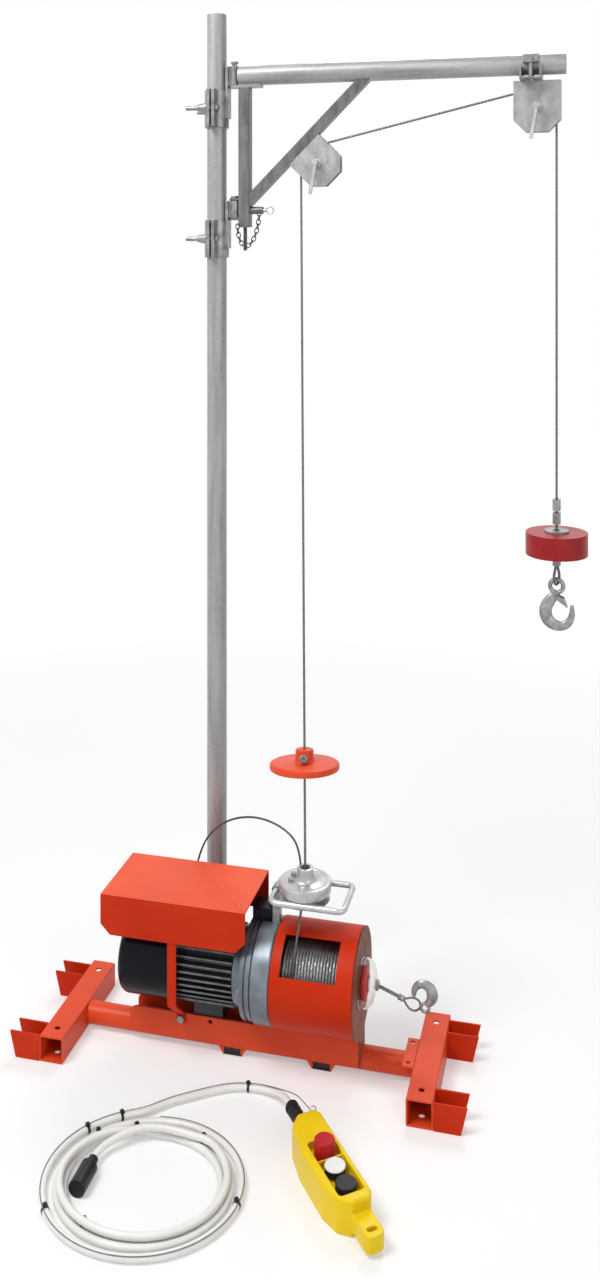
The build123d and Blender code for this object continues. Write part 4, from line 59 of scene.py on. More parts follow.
# %% Camera
scene = bpy.context.scene
scene.view_settings.view_transform = "Standard"
CAMERA_PLACE = Vector((0.8091, -2.4773, 1.576))
CAMERA_TURN = math.radians(14.13)
FOCAL_PX = 1200
PHOTO_H = 1279
HORIZON_PX = 257
SENSOR = 36.0
bpy.ops.object.camera_add(location=CAMERA_PLACE, rotation=(math.pi / 2, 0, CAMERA_TURN))
camera = bpy.context.object
camera.data.sensor_width = SENSOR
camera.data.lens = SENSOR * FOCAL_PX / PHOTO_H
camera.data.shift_y = (HORIZON_PX - PHOTO_H / 2) / PHOTO_H
scene.camera = camera
print("lens", round(camera.data.lens, 2), "shift", round(camera.data.shift_y, 3))

# %% [markdown]
# The light is a plain studio. A white room could come from more light on everything, but pale
# pieces would burn out. Here the world gives an even, weaker light, and only rays from the camera,
# a mirror or glass see it as white. The floor needs the same sum of rays, so a helper makes it.


# %% Rays that see a white room
def link(tree, start, end):
    tree.links.new(start, end)


def seen_rays(tree):
    """One for rays from the camera, a mirror or glass, and zero for all others."""
    ray = tree.nodes.new("ShaderNodeLightPath")
    mirror = tree.nodes.new("ShaderNodeMath")
    glass = tree.nodes.new("ShaderNodeMath")
    glass.use_clamp = True
    link(tree, ray.outputs["Is Camera Ray"], mirror.inputs[0])
    link(tree, ray.outputs["Is Glossy Ray"], mirror.inputs[1])
    link(tree, mirror.outputs["Value"], glass.inputs[0])
    link(tree, ray.outputs["Is Transmission Ray"], glass.inputs[1])
    return glass.outputs["Value"]


# %% World
ROOM_WHITE = (1.0, 1.0, 1.0, 1.0)
ROOM_LIGHT = 0.36
world = bpy.data.worlds.new("studio")
scene.world = world
world.use_nodes = True
sky = world.node_tree
even = sky.nodes["Background"]
even.inputs["Color"].default_value = ROOM_WHITE
even.inputs["Strength"].default_value = ROOM_LIGHT
plain = sky.nodes.new("ShaderNodeBackground")
plain.inputs["Color"].default_value = ROOM_WHITE
seen = sky.nodes.new("ShaderNodeMixShader")
link(sky, seen_rays(sky), seen.inputs["Fac"])
link(sky, even.outputs["Background"], seen.inputs[1])
link(sky, plain.outputs["Background"], seen.inputs[2])
link(sky, seen.outputs["Shader"], sky.nodes["World Output"].inputs["Surface"])
print("world of", len(sky.nodes), "nodes, strength", ROOM_LIGHT)

# %% [markdown]
# Large square lamps give soft shadows, as a studio's cloth boxes do. The key lamp stands at the
# front left, a weaker one fills from the right, and one behind parts the tubes from the white room.


# %% Lamps
def soft_lamp(name, place, aim, power, size):
    """Square lamp that looks at a point."""
    bpy.ops.object.light_add(type="AREA", location=place)
    lamp = bpy.context.object
    lamp.name = name
    lamp.data.energy = power
    lamp.data.size = size
    lamp.rotation_euler = (Vector(aim) - Vector(place)).to_track_quat("-Z", "Y").to_euler()
    return lamp


lamps = [
    soft_lamp("key_lamp", (-1.3, -1.9, 3.9), (0.2, -0.1, 0.7), 120, 1.6),
    soft_lamp("fill_lamp", (2.8, -2.4, 2.0), (0.2, -0.1, 0.9), 22, 1.8),
    soft_lamp("back_lamp", (0.4, 2.4, 3.4), (0.2, 0, 1.0), 45, 1.6),
]
print("lamps", [lamp.name for lamp in lamps])

# %% [markdown]
# ## Finishes
# A coat or a bare metal is never quite even. One flat colour would be quicker, but it looks like a
# toy. So every finish is a small node graph on Object coordinates: a slow noise tints the colour,
# a fine one moves the roughness and dents the surface a little. These helpers make the nodes.

# %% Noise and ramps
NOISE_LOW, NOISE_HIGH = 0.3, 0.7


def noise(tree, vector, scale, detail=3.0):
    node = tree.nodes.new("ShaderNodeTexNoise")
    node.inputs["Scale"].default_value = scale
    node.inputs["Detail"].default_value = detail
    link(tree, vector, node.inputs["Vector"])
    return node.outputs["Fac"]


def ramp(tree, factor, low, high, start=NOISE_LOW, end=NOISE_HIGH):
    """Colours between two, picked by a noise."""
    node = tree.nodes.new("ShaderNodeValToRGB")
    node.color_ramp.elements[0].position = start
    node.color_ramp.elements[1].position = end
    node.color_ramp.elements[0].color = (*low, 1.0)
    node.color_ramp.elements[1].color = (*high, 1.0)
    link(tree, factor, node.inputs["Fac"])
    return node.outputs["Color"]


def spread(tree, factor, low, high):
    """Values between two, picked by a noise."""
    node = tree.nodes.new("ShaderNodeMapRange")
    node.inputs["From Min"].default_value = NOISE_LOW
    node.inputs["From Max"].default_value = NOISE_HIGH
    node.inputs["To Min"].default_value = low
    node.inputs["To Max"].default_value = high
    link(tree, factor, node.inputs["Value"])
    return node.outputs["Result"]


# %% [markdown]
# Sharp edges of a solid catch no light, and real ones do, because they are a little round. The
# Bevel node rounds them in the shading, so the solid's mesh stays as it is. One builder then makes
# a whole finish, and each finish only says how it differs.

# %% Finish builder
EDGE_ROUND = 0.0012
DENT_DEPTH = 0.0004


def dent(tree, height, strength, depth):
    """Fine dents on a skin whose edges are softly rounded."""
    rounding = tree.nodes.new("ShaderNodeBevel")
    rounding.samples = 4
    rounding.inputs["Radius"].default_value = EDGE_ROUND
    node = tree.nodes.new("ShaderNodeBump")
    node.inputs["Strength"].default_value = strength
    node.inputs["Distance"].default_value = depth
    link(tree, height, node.inputs["Height"])
    link(tree, rounding.outputs["Normal"], node.inputs["Normal"])
    return node.outputs["Normal"]


def start_finish(name, stretch=(1, 1, 1)):
    """New material with its shader and a stretched Object coordinate."""
    material = bpy.data.materials.new(name)
    material.use_nodes = True
    tree = material.node_tree
    place = tree.nodes.new("ShaderNodeTexCoord")
    mapping = tree.nodes.new("ShaderNodeMapping")
    mapping.inputs["Scale"].default_value = stretch
    link(tree, place.outputs["Object"], mapping.inputs["Vector"])
    return material, tree, tree.nodes["Principled BSDF"], mapping.outputs["Vector"]


def finish(name, low, high, rough, scale, fine, bump, metal=0.0, gloss=0.5, depth=DENT_DEPTH,
           stretch=(1, 1, 1)):
    """Tinted finish with moving roughness and fine dents."""
    material, tree, shader, place = start_finish(name, stretch)
    slow = noise(tree, place, scale, 4.0)
    quick = noise(tree, place, fine, 2.0)
    link(tree, ramp(tree, slow, low, high), shader.inputs["Base Color"])
    link(tree, spread(tree, quick, *rough), shader.inputs["Roughness"])
    link(tree, dent(tree, quick, bump, depth), shader.inputs["Normal"])
    shader.inputs["Metallic"].default_value = metal
    shader.inputs["Specular IOR Level"].default_value = gloss
    return material


# %% [markdown]
# Powder coat is even in colour, with a faint skin like the peel of an orange. The frame's coat
# comes in three depths of one orange: a darker copy is painted shade on fronts, straps and the
# roof's skirt, and a lighter copy is painted light on the roof's top.

# %% Coats
ORANGE = finish("orange_coat", (0.66, 0.058, 0.014), (0.74, 0.074, 0.020), (0.32, 0.44),
                scale=9, fine=900, bump=0.06, gloss=0.22)
# A darker copy of the orange coat: painted shade for fronts, straps and the roof's skirt.
ORANGE_PAINTED_SHADE = finish("orange_coat_painted_shade", (0.52, 0.025, 0.004), (0.59, 0.033, 0.006), (0.34, 0.46),
                     scale=9, fine=900, bump=0.06, gloss=0.09)
# A lighter copy of the orange coat: painted light for the roof's top.
ORANGE_PAINTED_LIGHT = finish("orange_coat_painted_light", (0.72, 0.072, 0.020), (0.80, 0.090, 0.028), (0.36, 0.48),
                scale=7, fine=900, bump=0.06, gloss=0.3)
DARK_RED = finish("dark_red_coat", (0.27, 0.008, 0.010), (0.34, 0.012, 0.015), (0.32, 0.45),
                  scale=30, fine=700, bump=0.06, gloss=0.25)
BLACK_COAT = finish("black_coat", (0.003, 0.003, 0.006), (0.007, 0.007, 0.010), (0.16, 0.26),
                    scale=14, fine=800, bump=0.04, gloss=0.13)
print("coats", len(bpy.data.materials))

# %% [markdown]
# Cast aluminium is grainy, forged steel blotched, and steel rope dull grey. Plated pieces could be
# full mirrors, but those would only show the white room, so they are a mix of metal and grey.

# %% Bare and plated metals
CAST = finish("cast_aluminium", (0.12, 0.142, 0.172), (0.235, 0.265, 0.300), (0.28, 0.44),
              metal=0.55, scale=26, fine=620, bump=0.25, depth=0.0006)
ZINC = finish("zinc_plate", (0.16, 0.165, 0.17), (0.36, 0.365, 0.365), (0.26, 0.42), metal=0.5,
              scale=60, fine=900, bump=0.12)
BRIGHT_ZINC = finish("bright_zinc", (0.42, 0.43, 0.44), (0.56, 0.57, 0.58), (0.24, 0.36), metal=0.6,
                     scale=30, fine=800, bump=0.06)
FORGED = finish("forged_steel", (0.20, 0.205, 0.21), (0.40, 0.41, 0.41), (0.26, 0.44), metal=0.55,
                scale=80, fine=600, bump=0.2, depth=0.0005)
CHAIN = finish("dark_chain", (0.035, 0.035, 0.037), (0.10, 0.10, 0.10), (0.3, 0.45), metal=0.2,
               scale=90, fine=600, bump=0.15)
MOTOR = finish("motor_coat", (0.012, 0.013, 0.016), (0.024, 0.026, 0.030), (0.26, 0.36), scale=14,
               fine=700, bump=0.08, gloss=0.5)
# A lighter grey for the edges of the motor's fins: a painted highlight.
FIN_PAINTED_HIGHLIGHT = finish("motor_fin_painted_highlight", (0.10, 0.105, 0.11), (0.20, 0.205, 0.21), (0.26, 0.38),
                  metal=0.3, scale=70, fine=700, bump=0.1)
STEEL = finish("turned_steel", (0.44, 0.43, 0.42), (0.60, 0.59, 0.57), (0.22, 0.36), metal=1.0,
               scale=40, fine=700, bump=0.1, stretch=(6, 1, 1))
WIRE = finish("steel_wire", (0.07, 0.07, 0.075), (0.24, 0.24, 0.24), (0.32, 0.5), metal=0.5,
              scale=420, fine=900, bump=0.2)
WOUND = finish("wound_wire", (0.17, 0.17, 0.175), (0.46, 0.46, 0.455), (0.28, 0.44), metal=0.45,
               scale=300, fine=900, bump=0.2)
COPPER = finish("copper_wire", (0.30, 0.10, 0.04), (0.48, 0.20, 0.09), (0.3, 0.45), metal=0.9,
                scale=120, fine=600, bump=0.3, stretch=(1, 6, 6))
print("coats and metals", len(bpy.data.materials))

# %% [markdown]
# The plate on the drum cover's end looks brown, because it mirrors the frame and the floor before
# it. A mirror would need just those surroundings, so the plate is dull and its colour is a painted
# reflection. That colour changes with the height, which is the Z of the Object coordinate.

# %% Brown end plate
PLATE_FOOT, PLATE_TOP = 0.06, 0.26
PAINTED_REFLECTION_PALE, PAINTED_REFLECTION_DEEP = (0.25, 0.075, 0.042), (0.15, 0.036, 0.017)
FADE_START, FADE_END = 0.35, 0.75
PLATE_ROUGH, PLATE_GLOSS = (0.30, 0.42), 0.03
PLATE_DUST = 60.0
# The plate's colour is a painted reflection: paler low down and deeper higher up.
PLATE_PAINTED_REFLECTION, reflection_tree, reflection_shader, reflection_place = start_finish("plate_painted_reflection")
reflection_split = reflection_tree.nodes.new("ShaderNodeSeparateXYZ")
link(reflection_tree, reflection_place, reflection_split.inputs["Vector"])
reflection_height = reflection_tree.nodes.new("ShaderNodeMapRange")
reflection_height.inputs["From Min"].default_value = PLATE_FOOT
reflection_height.inputs["From Max"].default_value = PLATE_TOP
link(reflection_tree, reflection_split.outputs["Z"], reflection_height.inputs["Value"])
painted_reflection_colour = ramp(reflection_tree, reflection_height.outputs["Result"], PAINTED_REFLECTION_PALE, PAINTED_REFLECTION_DEEP, FADE_START,
                    FADE_END)
link(reflection_tree, painted_reflection_colour, reflection_shader.inputs["Base Color"])
plate_dust_noise = noise(reflection_tree, reflection_place, PLATE_DUST)
link(reflection_tree, spread(reflection_tree, plate_dust_noise, *PLATE_ROUGH), reflection_shader.inputs["Roughness"])
reflection_shader.inputs["Specular IOR Level"].default_value = PLATE_GLOSS
print(PLATE_PAINTED_REFLECTION.name, "from", PLATE_FOOT, "to", PLATE_TOP, "m")

# %% [markdown]
# Hot-dip zinc has pale crystal patches, and streaks where it ran off the tube. A noise that is
# stretched along the tube gives the streaks and a Voronoi pattern the crystals. The streaks run
# another way on each tube, so the stretch is handed to the builder.

# %% Galvanised tubes and plates
CRYSTAL_SCALE, CRYSTAL_SHARE = 160.0, 0.16
STREAK_SCALE, STREAK_DETAIL = 60.0, 5.0
PATCH_LOW, PATCH_HIGH = 0.36, 0.76
GRAIN_SCALE, GRAIN_DETAIL, GRAIN_BUMP = 500.0, 2.0, 0.12
GALV_ROUGH, GALV_METAL = (0.30, 0.50), 0.3


def galvanised(name, stretch, low=(0.24, 0.245, 0.25), high=(0.40, 0.41, 0.415)):
    """Zinc from the dip: crystal patches with long streaks."""
    material, tree, shader, place = start_finish(name)
    streak_map = tree.nodes.new("ShaderNodeMapping")
    streak_map.inputs["Scale"].default_value = stretch
    link(tree, place, streak_map.inputs["Vector"])
    streak = noise(tree, streak_map.outputs["Vector"], STREAK_SCALE, STREAK_DETAIL)
    crystal = tree.nodes.new("ShaderNodeTexVoronoi")
    crystal.inputs["Scale"].default_value = CRYSTAL_SCALE
    link(tree, place, crystal.inputs["Vector"])
    patch = tree.nodes.new("ShaderNodeMath")
    patch.operation = "MULTIPLY_ADD"
    link(tree, crystal.outputs["Distance"], patch.inputs[0])
    patch.inputs[1].default_value = CRYSTAL_SHARE
    link(tree, streak, patch.inputs[2])
    link(tree, ramp(tree, patch.outputs["Value"], low, high, PATCH_LOW, PATCH_HIGH),
         shader.inputs["Base Color"])
    grain = noise(tree, place, GRAIN_SCALE, GRAIN_DETAIL)
    link(tree, spread(tree, streak, *GALV_ROUGH), shader.inputs["Roughness"])
    link(tree, dent(tree, grain, GRAIN_BUMP, DENT_DEPTH), shader.inputs["Normal"])
    shader.inputs["Metallic"].default_value = GALV_METAL
    return material


GALV_UP = galvanised("galvanised_upright", (1, 1, 0.08))
GALV_ALONG = galvanised("galvanised_arm", (0.08, 1, 1))
GALV_PLATE = galvanised("galvanised_plate", (1, 1, 0.6), (0.28, 0.29, 0.295), (0.42, 0.43, 0.435))
GALV_DARK = galvanised("galvanised_square", (1, 1, 0.2), (0.075, 0.077, 0.080),
                       (0.17, 0.174, 0.178))
print("galvanised", [skin.name for skin in (GALV_UP, GALV_ALONG, GALV_PLATE, GALV_DARK)])

# %% [markdown]
# Plastics have a soft moulded sheen, and rubber is dull and dusty. The pendant is yellow, its stop
# button red, and the cable off-white. The dome on the drum's end is clear, so it transmits light
# and only its roughness varies, as dust on it would.

# %% Finishes of plastic and rubber
BLACK_NYLON = finish("black_nylon", (0.006, 0.006, 0.007), (0.013, 0.013, 0.014), (0.34, 0.5),
                     scale=30, fine=700, bump=0.1, gloss=0.3)
RUBBER = finish("black_rubber", (0.012, 0.012, 0.012), (0.030, 0.029, 0.027), (0.6, 0.8),
                scale=50, fine=500, bump=0.2)
YELLOW = finish("yellow_shell", (0.80, 0.56, 0.003), (0.86, 0.62, 0.006), (0.30, 0.40),
                scale=10, fine=1100, bump=0.05, gloss=0.25)
RED = finish("red_cap", (0.40, 0.008, 0.013), (0.48, 0.012, 0.018), (0.34, 0.46), scale=40,
             fine=900, bump=0.06, gloss=0.2)
WHITE = finish("white_cap", (0.74, 0.74, 0.72), (0.80, 0.80, 0.78), (0.3, 0.42), scale=40,
               fine=900, bump=0.05)
CABLE_SKIN = finish("white_cable_skin", (0.78, 0.78, 0.755), (0.85, 0.85, 0.83), (0.34, 0.5),
                    scale=18, fine=500, bump=0.08)
LEAD_SKIN = finish("dark_lead_skin", (0.02, 0.018, 0.017), (0.06, 0.052, 0.048), (0.3, 0.45),
                   scale=60, fine=600, bump=0.1)
CLEAR, clear_tree, clear_shader, clear_place = start_finish("clear_dome")
clear_shader.inputs["Base Color"].default_value = (0.93, 0.93, 0.92, 1.0)
clear_shader.inputs["Transmission Weight"].default_value = 1.0
clear_shader.inputs["IOR"].default_value = 1.2
clear_dust = noise(clear_tree, clear_place, 90.0)
link(clear_tree, spread(clear_tree, clear_dust, 0.04, 0.12), clear_shader.inputs["Roughness"])
print("finishes", len(bpy.data.materials))

# %% [markdown]
# The floor is a wide pale sheet that only carries the shadow. It could be left to the lamps, but
# then its far side turns grey. So it fades to plain white with the distance from the post, and
# keeps its shadow near it.

# %% Floor finish
SHADOW_REACH = (0.9, 2.4)
SHADOW_SHARE = (0.35, 1.0)
FLOOR = finish("pale_floor", (0.90, 0.90, 0.90), (0.92, 0.92, 0.92), (0.7, 0.8), scale=2, fine=40,
               bump=0.01)
floor_tree = FLOOR.node_tree
floor_nodes = floor_tree.nodes
floor_place = floor_nodes.new("ShaderNodeTexCoord")
away = floor_nodes.new("ShaderNodeVectorMath")
away.operation = "LENGTH"
link(floor_tree, floor_place.outputs["Object"], away.inputs[0])
reach = floor_nodes.new("ShaderNodeMapRange")
reach.inputs["From Min"].default_value = SHADOW_REACH[0]
reach.inputs["From Max"].default_value = SHADOW_REACH[1]
reach.inputs["To Min"].default_value = SHADOW_SHARE[0]
reach.inputs["To Max"].default_value = SHADOW_SHARE[1]
link(floor_tree, away.outputs["Value"], reach.inputs["Value"])
share = floor_nodes.new("ShaderNodeMath")
share.operation = "MULTIPLY"
link(floor_tree, seen_rays(floor_tree), share.inputs[0])
link(floor_tree, reach.outputs["Result"], share.inputs[1])
glow = floor_nodes.new("ShaderNodeEmission")
floor_mix = floor_nodes.new("ShaderNodeMixShader")
link(floor_tree, share.outputs["Value"], floor_mix.inputs["Fac"])
link(floor_tree, floor_nodes["Principled BSDF"].outputs["BSDF"], floor_mix.inputs[1])
link(floor_tree, glow.outputs["Emission"], floor_mix.inputs[2])
link(floor_tree, floor_mix.outputs["Shader"], floor_nodes["Material Output"].inputs["Surface"])
print(FLOOR.name, "is white from", SHADOW_REACH[1], "m on")

# %% Floor
FLOOR_SIZE = 40
FLOOR_GAP = 0.0005
bpy.ops.mesh.primitive_plane_add(size=FLOOR_SIZE, location=(0, 0, -FLOOR_GAP))
floor = bpy.context.object
floor.name = "floor"
floor.data.materials.append(FLOOR)
print("floor", FLOOR_SIZE, "m wide")

# %% [markdown]
# ## Finishes on the solids
# Solids whose shape is already right keep it and only take a finish. They could each be given one
# by hand, but a list by finish is easier to read, and it shows at once which solid is still bare.

# %% Finishes on solids
WEAR = {
    ORANGE: "cross_beams spine_tube saddle_plates stop_disc",
    # The darker orange on these pieces is painted shade.
    ORANGE_PAINTED_SHADE: "cradle_brackets drum_cover roof_straps",
    # The lighter orange on the roof's top is painted light.
    ORANGE_PAINTED_LIGHT: "roof",
    DARK_RED: "counterweight",
    BLACK_COAT: "fan_cover control_box limit_switch",
    MOTOR: "motor_housing",
    CHAIN: "lock_chain",
    # The end plate's brown is a painted reflection.
    PLATE_PAINTED_REFLECTION: "cover_end_plate",
    CAST: "motor_flange gearbox_housing",
    ZINC: "post_clamps hinge_pins tip_clamp rope_clips hook_latch frame_bolts",
    BRIGHT_ZINC: "limit_bail axle_pin_inner axle_pin_tip lock_pin",
    FORGED: "load_hook tether_hook",
    STEEL: "rotor layshaft drum shaft_bearings",
    WIRE: "rope_rise rope_run rope_fall hook_rope rope_windings",
    COPPER: "stator",
    GALV_UP: "post",
    GALV_ALONG: "jib_arm",
    GALV_DARK: "jib_upright jib_brace",
    GALV_PLATE: "pulley_blocks guide_disc",
    BLACK_NYLON: ("pulley_inner pulley_tip cooling_fan switchgear cable_gland cable_plug "
                  "down_button"),
    RUBBER: "foot_pads",
    YELLOW: "pendant_body",
    RED: "estop_button",
    WHITE: "up_button",
    CABLE_SKIN: "pendant_cable cable_coil",
    LEAD_SKIN: "switch_lead",
    CLEAR: "clear_dome",
}
for skin, names in WEAR.items():
    for name in names.split():
        solids[name].data.materials.clear()
        solids[name].data.materials.append(skin)
bare = set(solids) - {name for names in WEAR.values() for name in names.split()}
print("solids without a finish:", sorted(bare))

# %% [markdown]
# Some solids wear two finishes. They could be cut apart, but the solids stay as they are, so the
# wanted faces are picked by their place or direction and take a second material. The limit
# switch's black box stands on a bare zinc post.

# %% Zinc post of the limit switch
POST_LEFT, POST_FRONT, POST_BACK = 0.1795, -0.1992, -0.1808
BOX_RIGHT, BOX_TOP = 0.1842, 0.2905


def second_finish(name, skin, wanted):
    """Gives a second finish to the faces of a solid that are wanted."""
    mesh = solids[name].data
    mesh.materials.append(skin)
    for face in mesh.polygons:
        if wanted(face):
            face.material_index = 1
    print(name, sum(face.material_index for face in mesh.polygons), "faces of", skin.name)


def on_switch_post(face):
    """Tells whether a face is on the post, beside or above the box."""
    place = face.center
    in_post = place.x > POST_LEFT and POST_FRONT < place.y < POST_BACK
    return in_post and (place.x > BOX_RIGHT or place.z > BOX_TOP)


second_finish("limit_switch", ZINC, on_switch_post)

# %% [markdown]
# The roof's skirt takes the darker orange, which is painted shade, because light falls on the
# roof's top and not on the skirt. The fins of the motor get a lighter grey at their edges, which is
# a painted highlight, and the upper button is a white cap on a black collar.

# %% Roof skirt, fin edges and button collar
AXIS_Y, AXIS_Z = -0.190, 0.168
SKIRT_TILT = 0.5
FIN_REACH = 0.0725
FOOT_TOP = 0.105
CAP_LOW = 0.0555
# The roof's skirt faces take the darker orange, which is painted shade.
second_finish("roof", ORANGE_PAINTED_SHADE, lambda face: abs(face.normal.z) < SKIRT_TILT)
# The outer faces of the fins take the lighter grey, which is a painted highlight.
second_finish("motor_housing", FIN_PAINTED_HIGHLIGHT, lambda face: face.center.z > FOOT_TOP and
              math.hypot(face.center.y - AXIS_Y, face.center.z - AXIS_Z) > FIN_REACH)
second_finish("up_button", BLACK_NYLON, lambda face: face.center.z < CAP_LOW)

# %% [markdown]
# ## Cords
# A cord keeps its length and lies as its weight lets it. It could be a mesh, but a NURBS line that
# follows given points bends softly, never kinks, and is easily moved later. The line's own points
# are read back to measure the cord and to set pieces on it.

# %% Cord builder
CORD_STEPS = 6
CORD_ROUND = 4


def cord_line(name, points, thick, skin, body):
    """Smooth round cord along given points, in metres."""
    curve = bpy.data.curves.new(name, "CURVE")
    curve.dimensions = "3D"
    spline = curve.splines.new("NURBS")
    spline.points.add(len(points) - 1)
    for knot, place in zip(spline.points, points):
        knot.co = (*place, 1.0)
    spline.order_u = 3
    spline.use_endpoint_u = True
    curve.resolution_u = CORD_STEPS
    curve.bevel_depth = thick / 2
    curve.bevel_resolution = CORD_ROUND
    curve.use_fill_caps = True
    piece = bpy.data.objects.new(name, curve)
    scene.collection.objects.link(piece)
    curve.materials.append(skin)
    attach(piece, body)
    return piece


def line_points(piece):
    """Points along a cord's own smooth line, read from a copy with no thickness."""
    bare_line = piece.copy()
    bare_line.data = piece.data.copy()
    bare_line.data.bevel_depth = 0
    mesh = bpy.data.meshes.new_from_object(bare_line)
    places = [vertex.co.copy() for vertex in mesh.vertices]
    bpy.data.meshes.remove(mesh)
    bpy.data.curves.remove(bare_line.data)
    return places


def run_length(places):
    return sum((b - a).length for a, b in zip(places, places[1:]))


# %% [markdown]
# The white cable leaves the pendant's gland, crosses the floor and lies in four loose turns. The
# turns shrink inwards and fan out on the right, where nothing ties them. The last turn steps over
# its neighbour and ends in the connector inside the ring. A screw line would look machine-wound,
# so the radius of each turn also wavers a little.

# %% Turns of the cable
COIL_X, COIL_Y = 0.058, -0.568
START_TURN = 112.0
TURNS, LAST_TURN = 4, 3
STEPS, STEPS_LEFT = 24, 3
FLOOR_Z = 0.0071
TOP_Z = 0.0205
COIL_R, COIL_FLAT = 0.1795, 0.014
LANE_W, LANE_LOOSE, LANE_APART = 0.0142, 0.30, 0.010
STEP_BACK, BACK_WITHIN = 1.6, 0.25
STEP_UP, UP_WITHIN = 2.93, 0.16
WAVER, WAVER_SHIFT = 0.0012, 0.6


def ease(share):
    """Share that starts and ends softly."""
    share = min(max(share, 0.0), 1.0)
    return share * share * (3 - 2 * share)


def coil_place(turn):
    """Place on the coil after a number of turns."""
    angle = math.radians(START_TURN + 360 * turn)
    loose = 1 + LANE_LOOSE * (0.5 + 0.5 * math.cos(angle))
    lane = turn
    if turn >= LAST_TURN:
        back = STEP_BACK * ease((turn - LAST_TURN) / BACK_WITHIN)
        lane = LAST_TURN - back + (turn - LAST_TURN)
    apart = LANE_APART * ease(turn) * (0.5 - 0.5 * math.cos(angle))
    radius = COIL_R - COIL_FLAT * math.sin(angle) ** 2 - LANE_W * lane * loose - apart
    radius += WAVER * math.sin(2 * angle + WAVER_SHIFT * math.floor(turn))
    lift = ease((turn - STEP_UP) / UP_WITHIN)
    height = FLOOR_Z + (TOP_Z - FLOOR_Z) * lift
    return (COIL_X + radius * math.cos(angle), COIL_Y + radius * math.sin(angle), height)


coil = [coil_place(step / STEPS) for step in range(TURNS * STEPS - STEPS_LEFT)]
print("coil of", len(coil), "points")

# %% Pendant cable
CABLE_D = 0.0125
cable_route = [
    (0.2564, -0.3522, 0.024), (0.2390, -0.3302, 0.024), (0.214, -0.3085, 0.012),
    (0.174, -0.301, 0.007), (0.134, -0.308, 0.007), (0.097, -0.329, 0.007),
    (0.062, -0.354, 0.007), (0.036, -0.372, 0.007), (0.010, -0.398, 0.007),
]
cable_route += coil
cable_route += [
    (0.108, -0.4655, 0.0225), (0.078, -0.4630, 0.0235), (0.048, -0.4625, 0.0240),
    (0.0179, -0.4690, 0.0240), (-0.0060, -0.4830, 0.0225), (-0.0250, -0.5010, 0.0190),
    (-0.0390, -0.5190, 0.0160), (-0.0445, -0.5370, 0.0150), (-0.0445, -0.5510, 0.0150),
]
cable = cord_line("pendant_cable_line", cable_route, CABLE_D, CABLE_SKIN, "stand")
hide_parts("pendant_cable", "cable_coil")
cable_places = line_points(cable)

# %% [markdown]
# The limit switch's thin lead springs from the guide disc's hub in an arch over the roof and goes
# in behind the motor. It is stiff for its weight, so the arch stands free and needs few points.

# %% Switch lead
LEAD_D = 0.004
lead_route = [
    (0.235, -0.1915, 0.3835), (0.232, -0.189, 0.406), (0.216, -0.176, 0.428),
    (0.178, -0.157, 0.440), (0.130, -0.139, 0.441), (0.082, -0.123, 0.427),
    (0.040, -0.108, 0.400), (0.008, -0.093, 0.363), (-0.009, -0.082, 0.327),
    (-0.015, -0.082, 0.306), (-0.015, -0.099, 0.300), (-0.015, -0.111, 0.300),
]
lead = cord_line("switch_lead_line", lead_route, LEAD_D, LEAD_SKIN, "stand")
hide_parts("switch_lead")
lead_length = run_length(line_points(lead))
print("switch lead", round(lead_length, 3), "m")

# %% [markdown]
# ## Modelled pieces
# The next pieces are shaped one by one. Helpers keep the steps short: one picks a piece, one merges
# its doubled points and turns its faces outwards, and one settles a finished piece on its body.

# %% Pick, seal and settle
MM = 0.001


def alone(piece):
    """Selects one piece and nothing else."""
    bpy.ops.object.select_all(action="DESELECT")
    piece.select_set(True)
    bpy.context.view_layer.objects.active = piece


def seal(piece, gap=0.01 * MM):
    """Merges a piece's doubled points and turns its faces outwards."""
    alone(piece)
    bpy.ops.object.mode_set(mode="EDIT")
    bpy.ops.mesh.select_all(action="SELECT")
    bpy.ops.mesh.remove_doubles(threshold=gap)
    bpy.ops.mesh.normals_make_consistent(inside=False)
    bpy.ops.object.mode_set(mode="OBJECT")


def settle(piece, name, body, slot, skin, *swapped, smooth=30):
    """Gives a finished piece its finish and its body."""
    alone(piece)
    bpy.ops.object.transform_apply(location=True, rotation=True, scale=True)
    bpy.ops.object.shade_smooth_by_angle(angle=math.radians(smooth))
    piece.name = name
    piece.data.materials.clear()
    piece.data.materials.append(skin)
    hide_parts(*swapped)
    if body:
        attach(piece, body)
    print(name, len(piece.data.polygons), "faces")
    return piece


# %% [markdown]
# Many pieces are round. A cylinder could be cut into shape, but a lathe does it better: a half
# section is drawn corner by corner from one point and spun once round its axis.


# %% Lathe
def turned(profile, place, axis=(0, 0, 1), steps=64):
    """Round piece spun from the (radius, height) corners of its half section, in mm."""
    bpy.ops.object.select_all(action="DESELECT")
    bpy.ops.mesh.primitive_plane_add(size=MM)
    piece = bpy.context.object
    bpy.ops.object.mode_set(mode="EDIT")
    bpy.ops.mesh.select_all(action="SELECT")
    bpy.ops.mesh.merge(type="CENTER")
    bpy.ops.transform.translate(value=(profile[0][0] * MM, 0, profile[0][1] * MM))
    for here, there in zip(profile, profile[1:]):
        move = ((there[0] - here[0]) * MM, 0, (there[1] - here[1]) * MM)
        bpy.ops.mesh.extrude_vertices_move(TRANSFORM_OT_translate={"value": move})
    bpy.ops.mesh.select_all(action="SELECT")
    bpy.ops.mesh.remove_doubles(threshold=0.01 * MM)
    bpy.ops.mesh.spin(steps=steps, angle=2 * math.pi, center=(0, 0, 0), axis=(0, 0, 1))
    bpy.ops.object.mode_set(mode="OBJECT")
    seal(piece)
    piece.location = place
    piece.rotation_euler = Vector(axis).to_track_quat("Z", "Y").to_euler()
    return piece


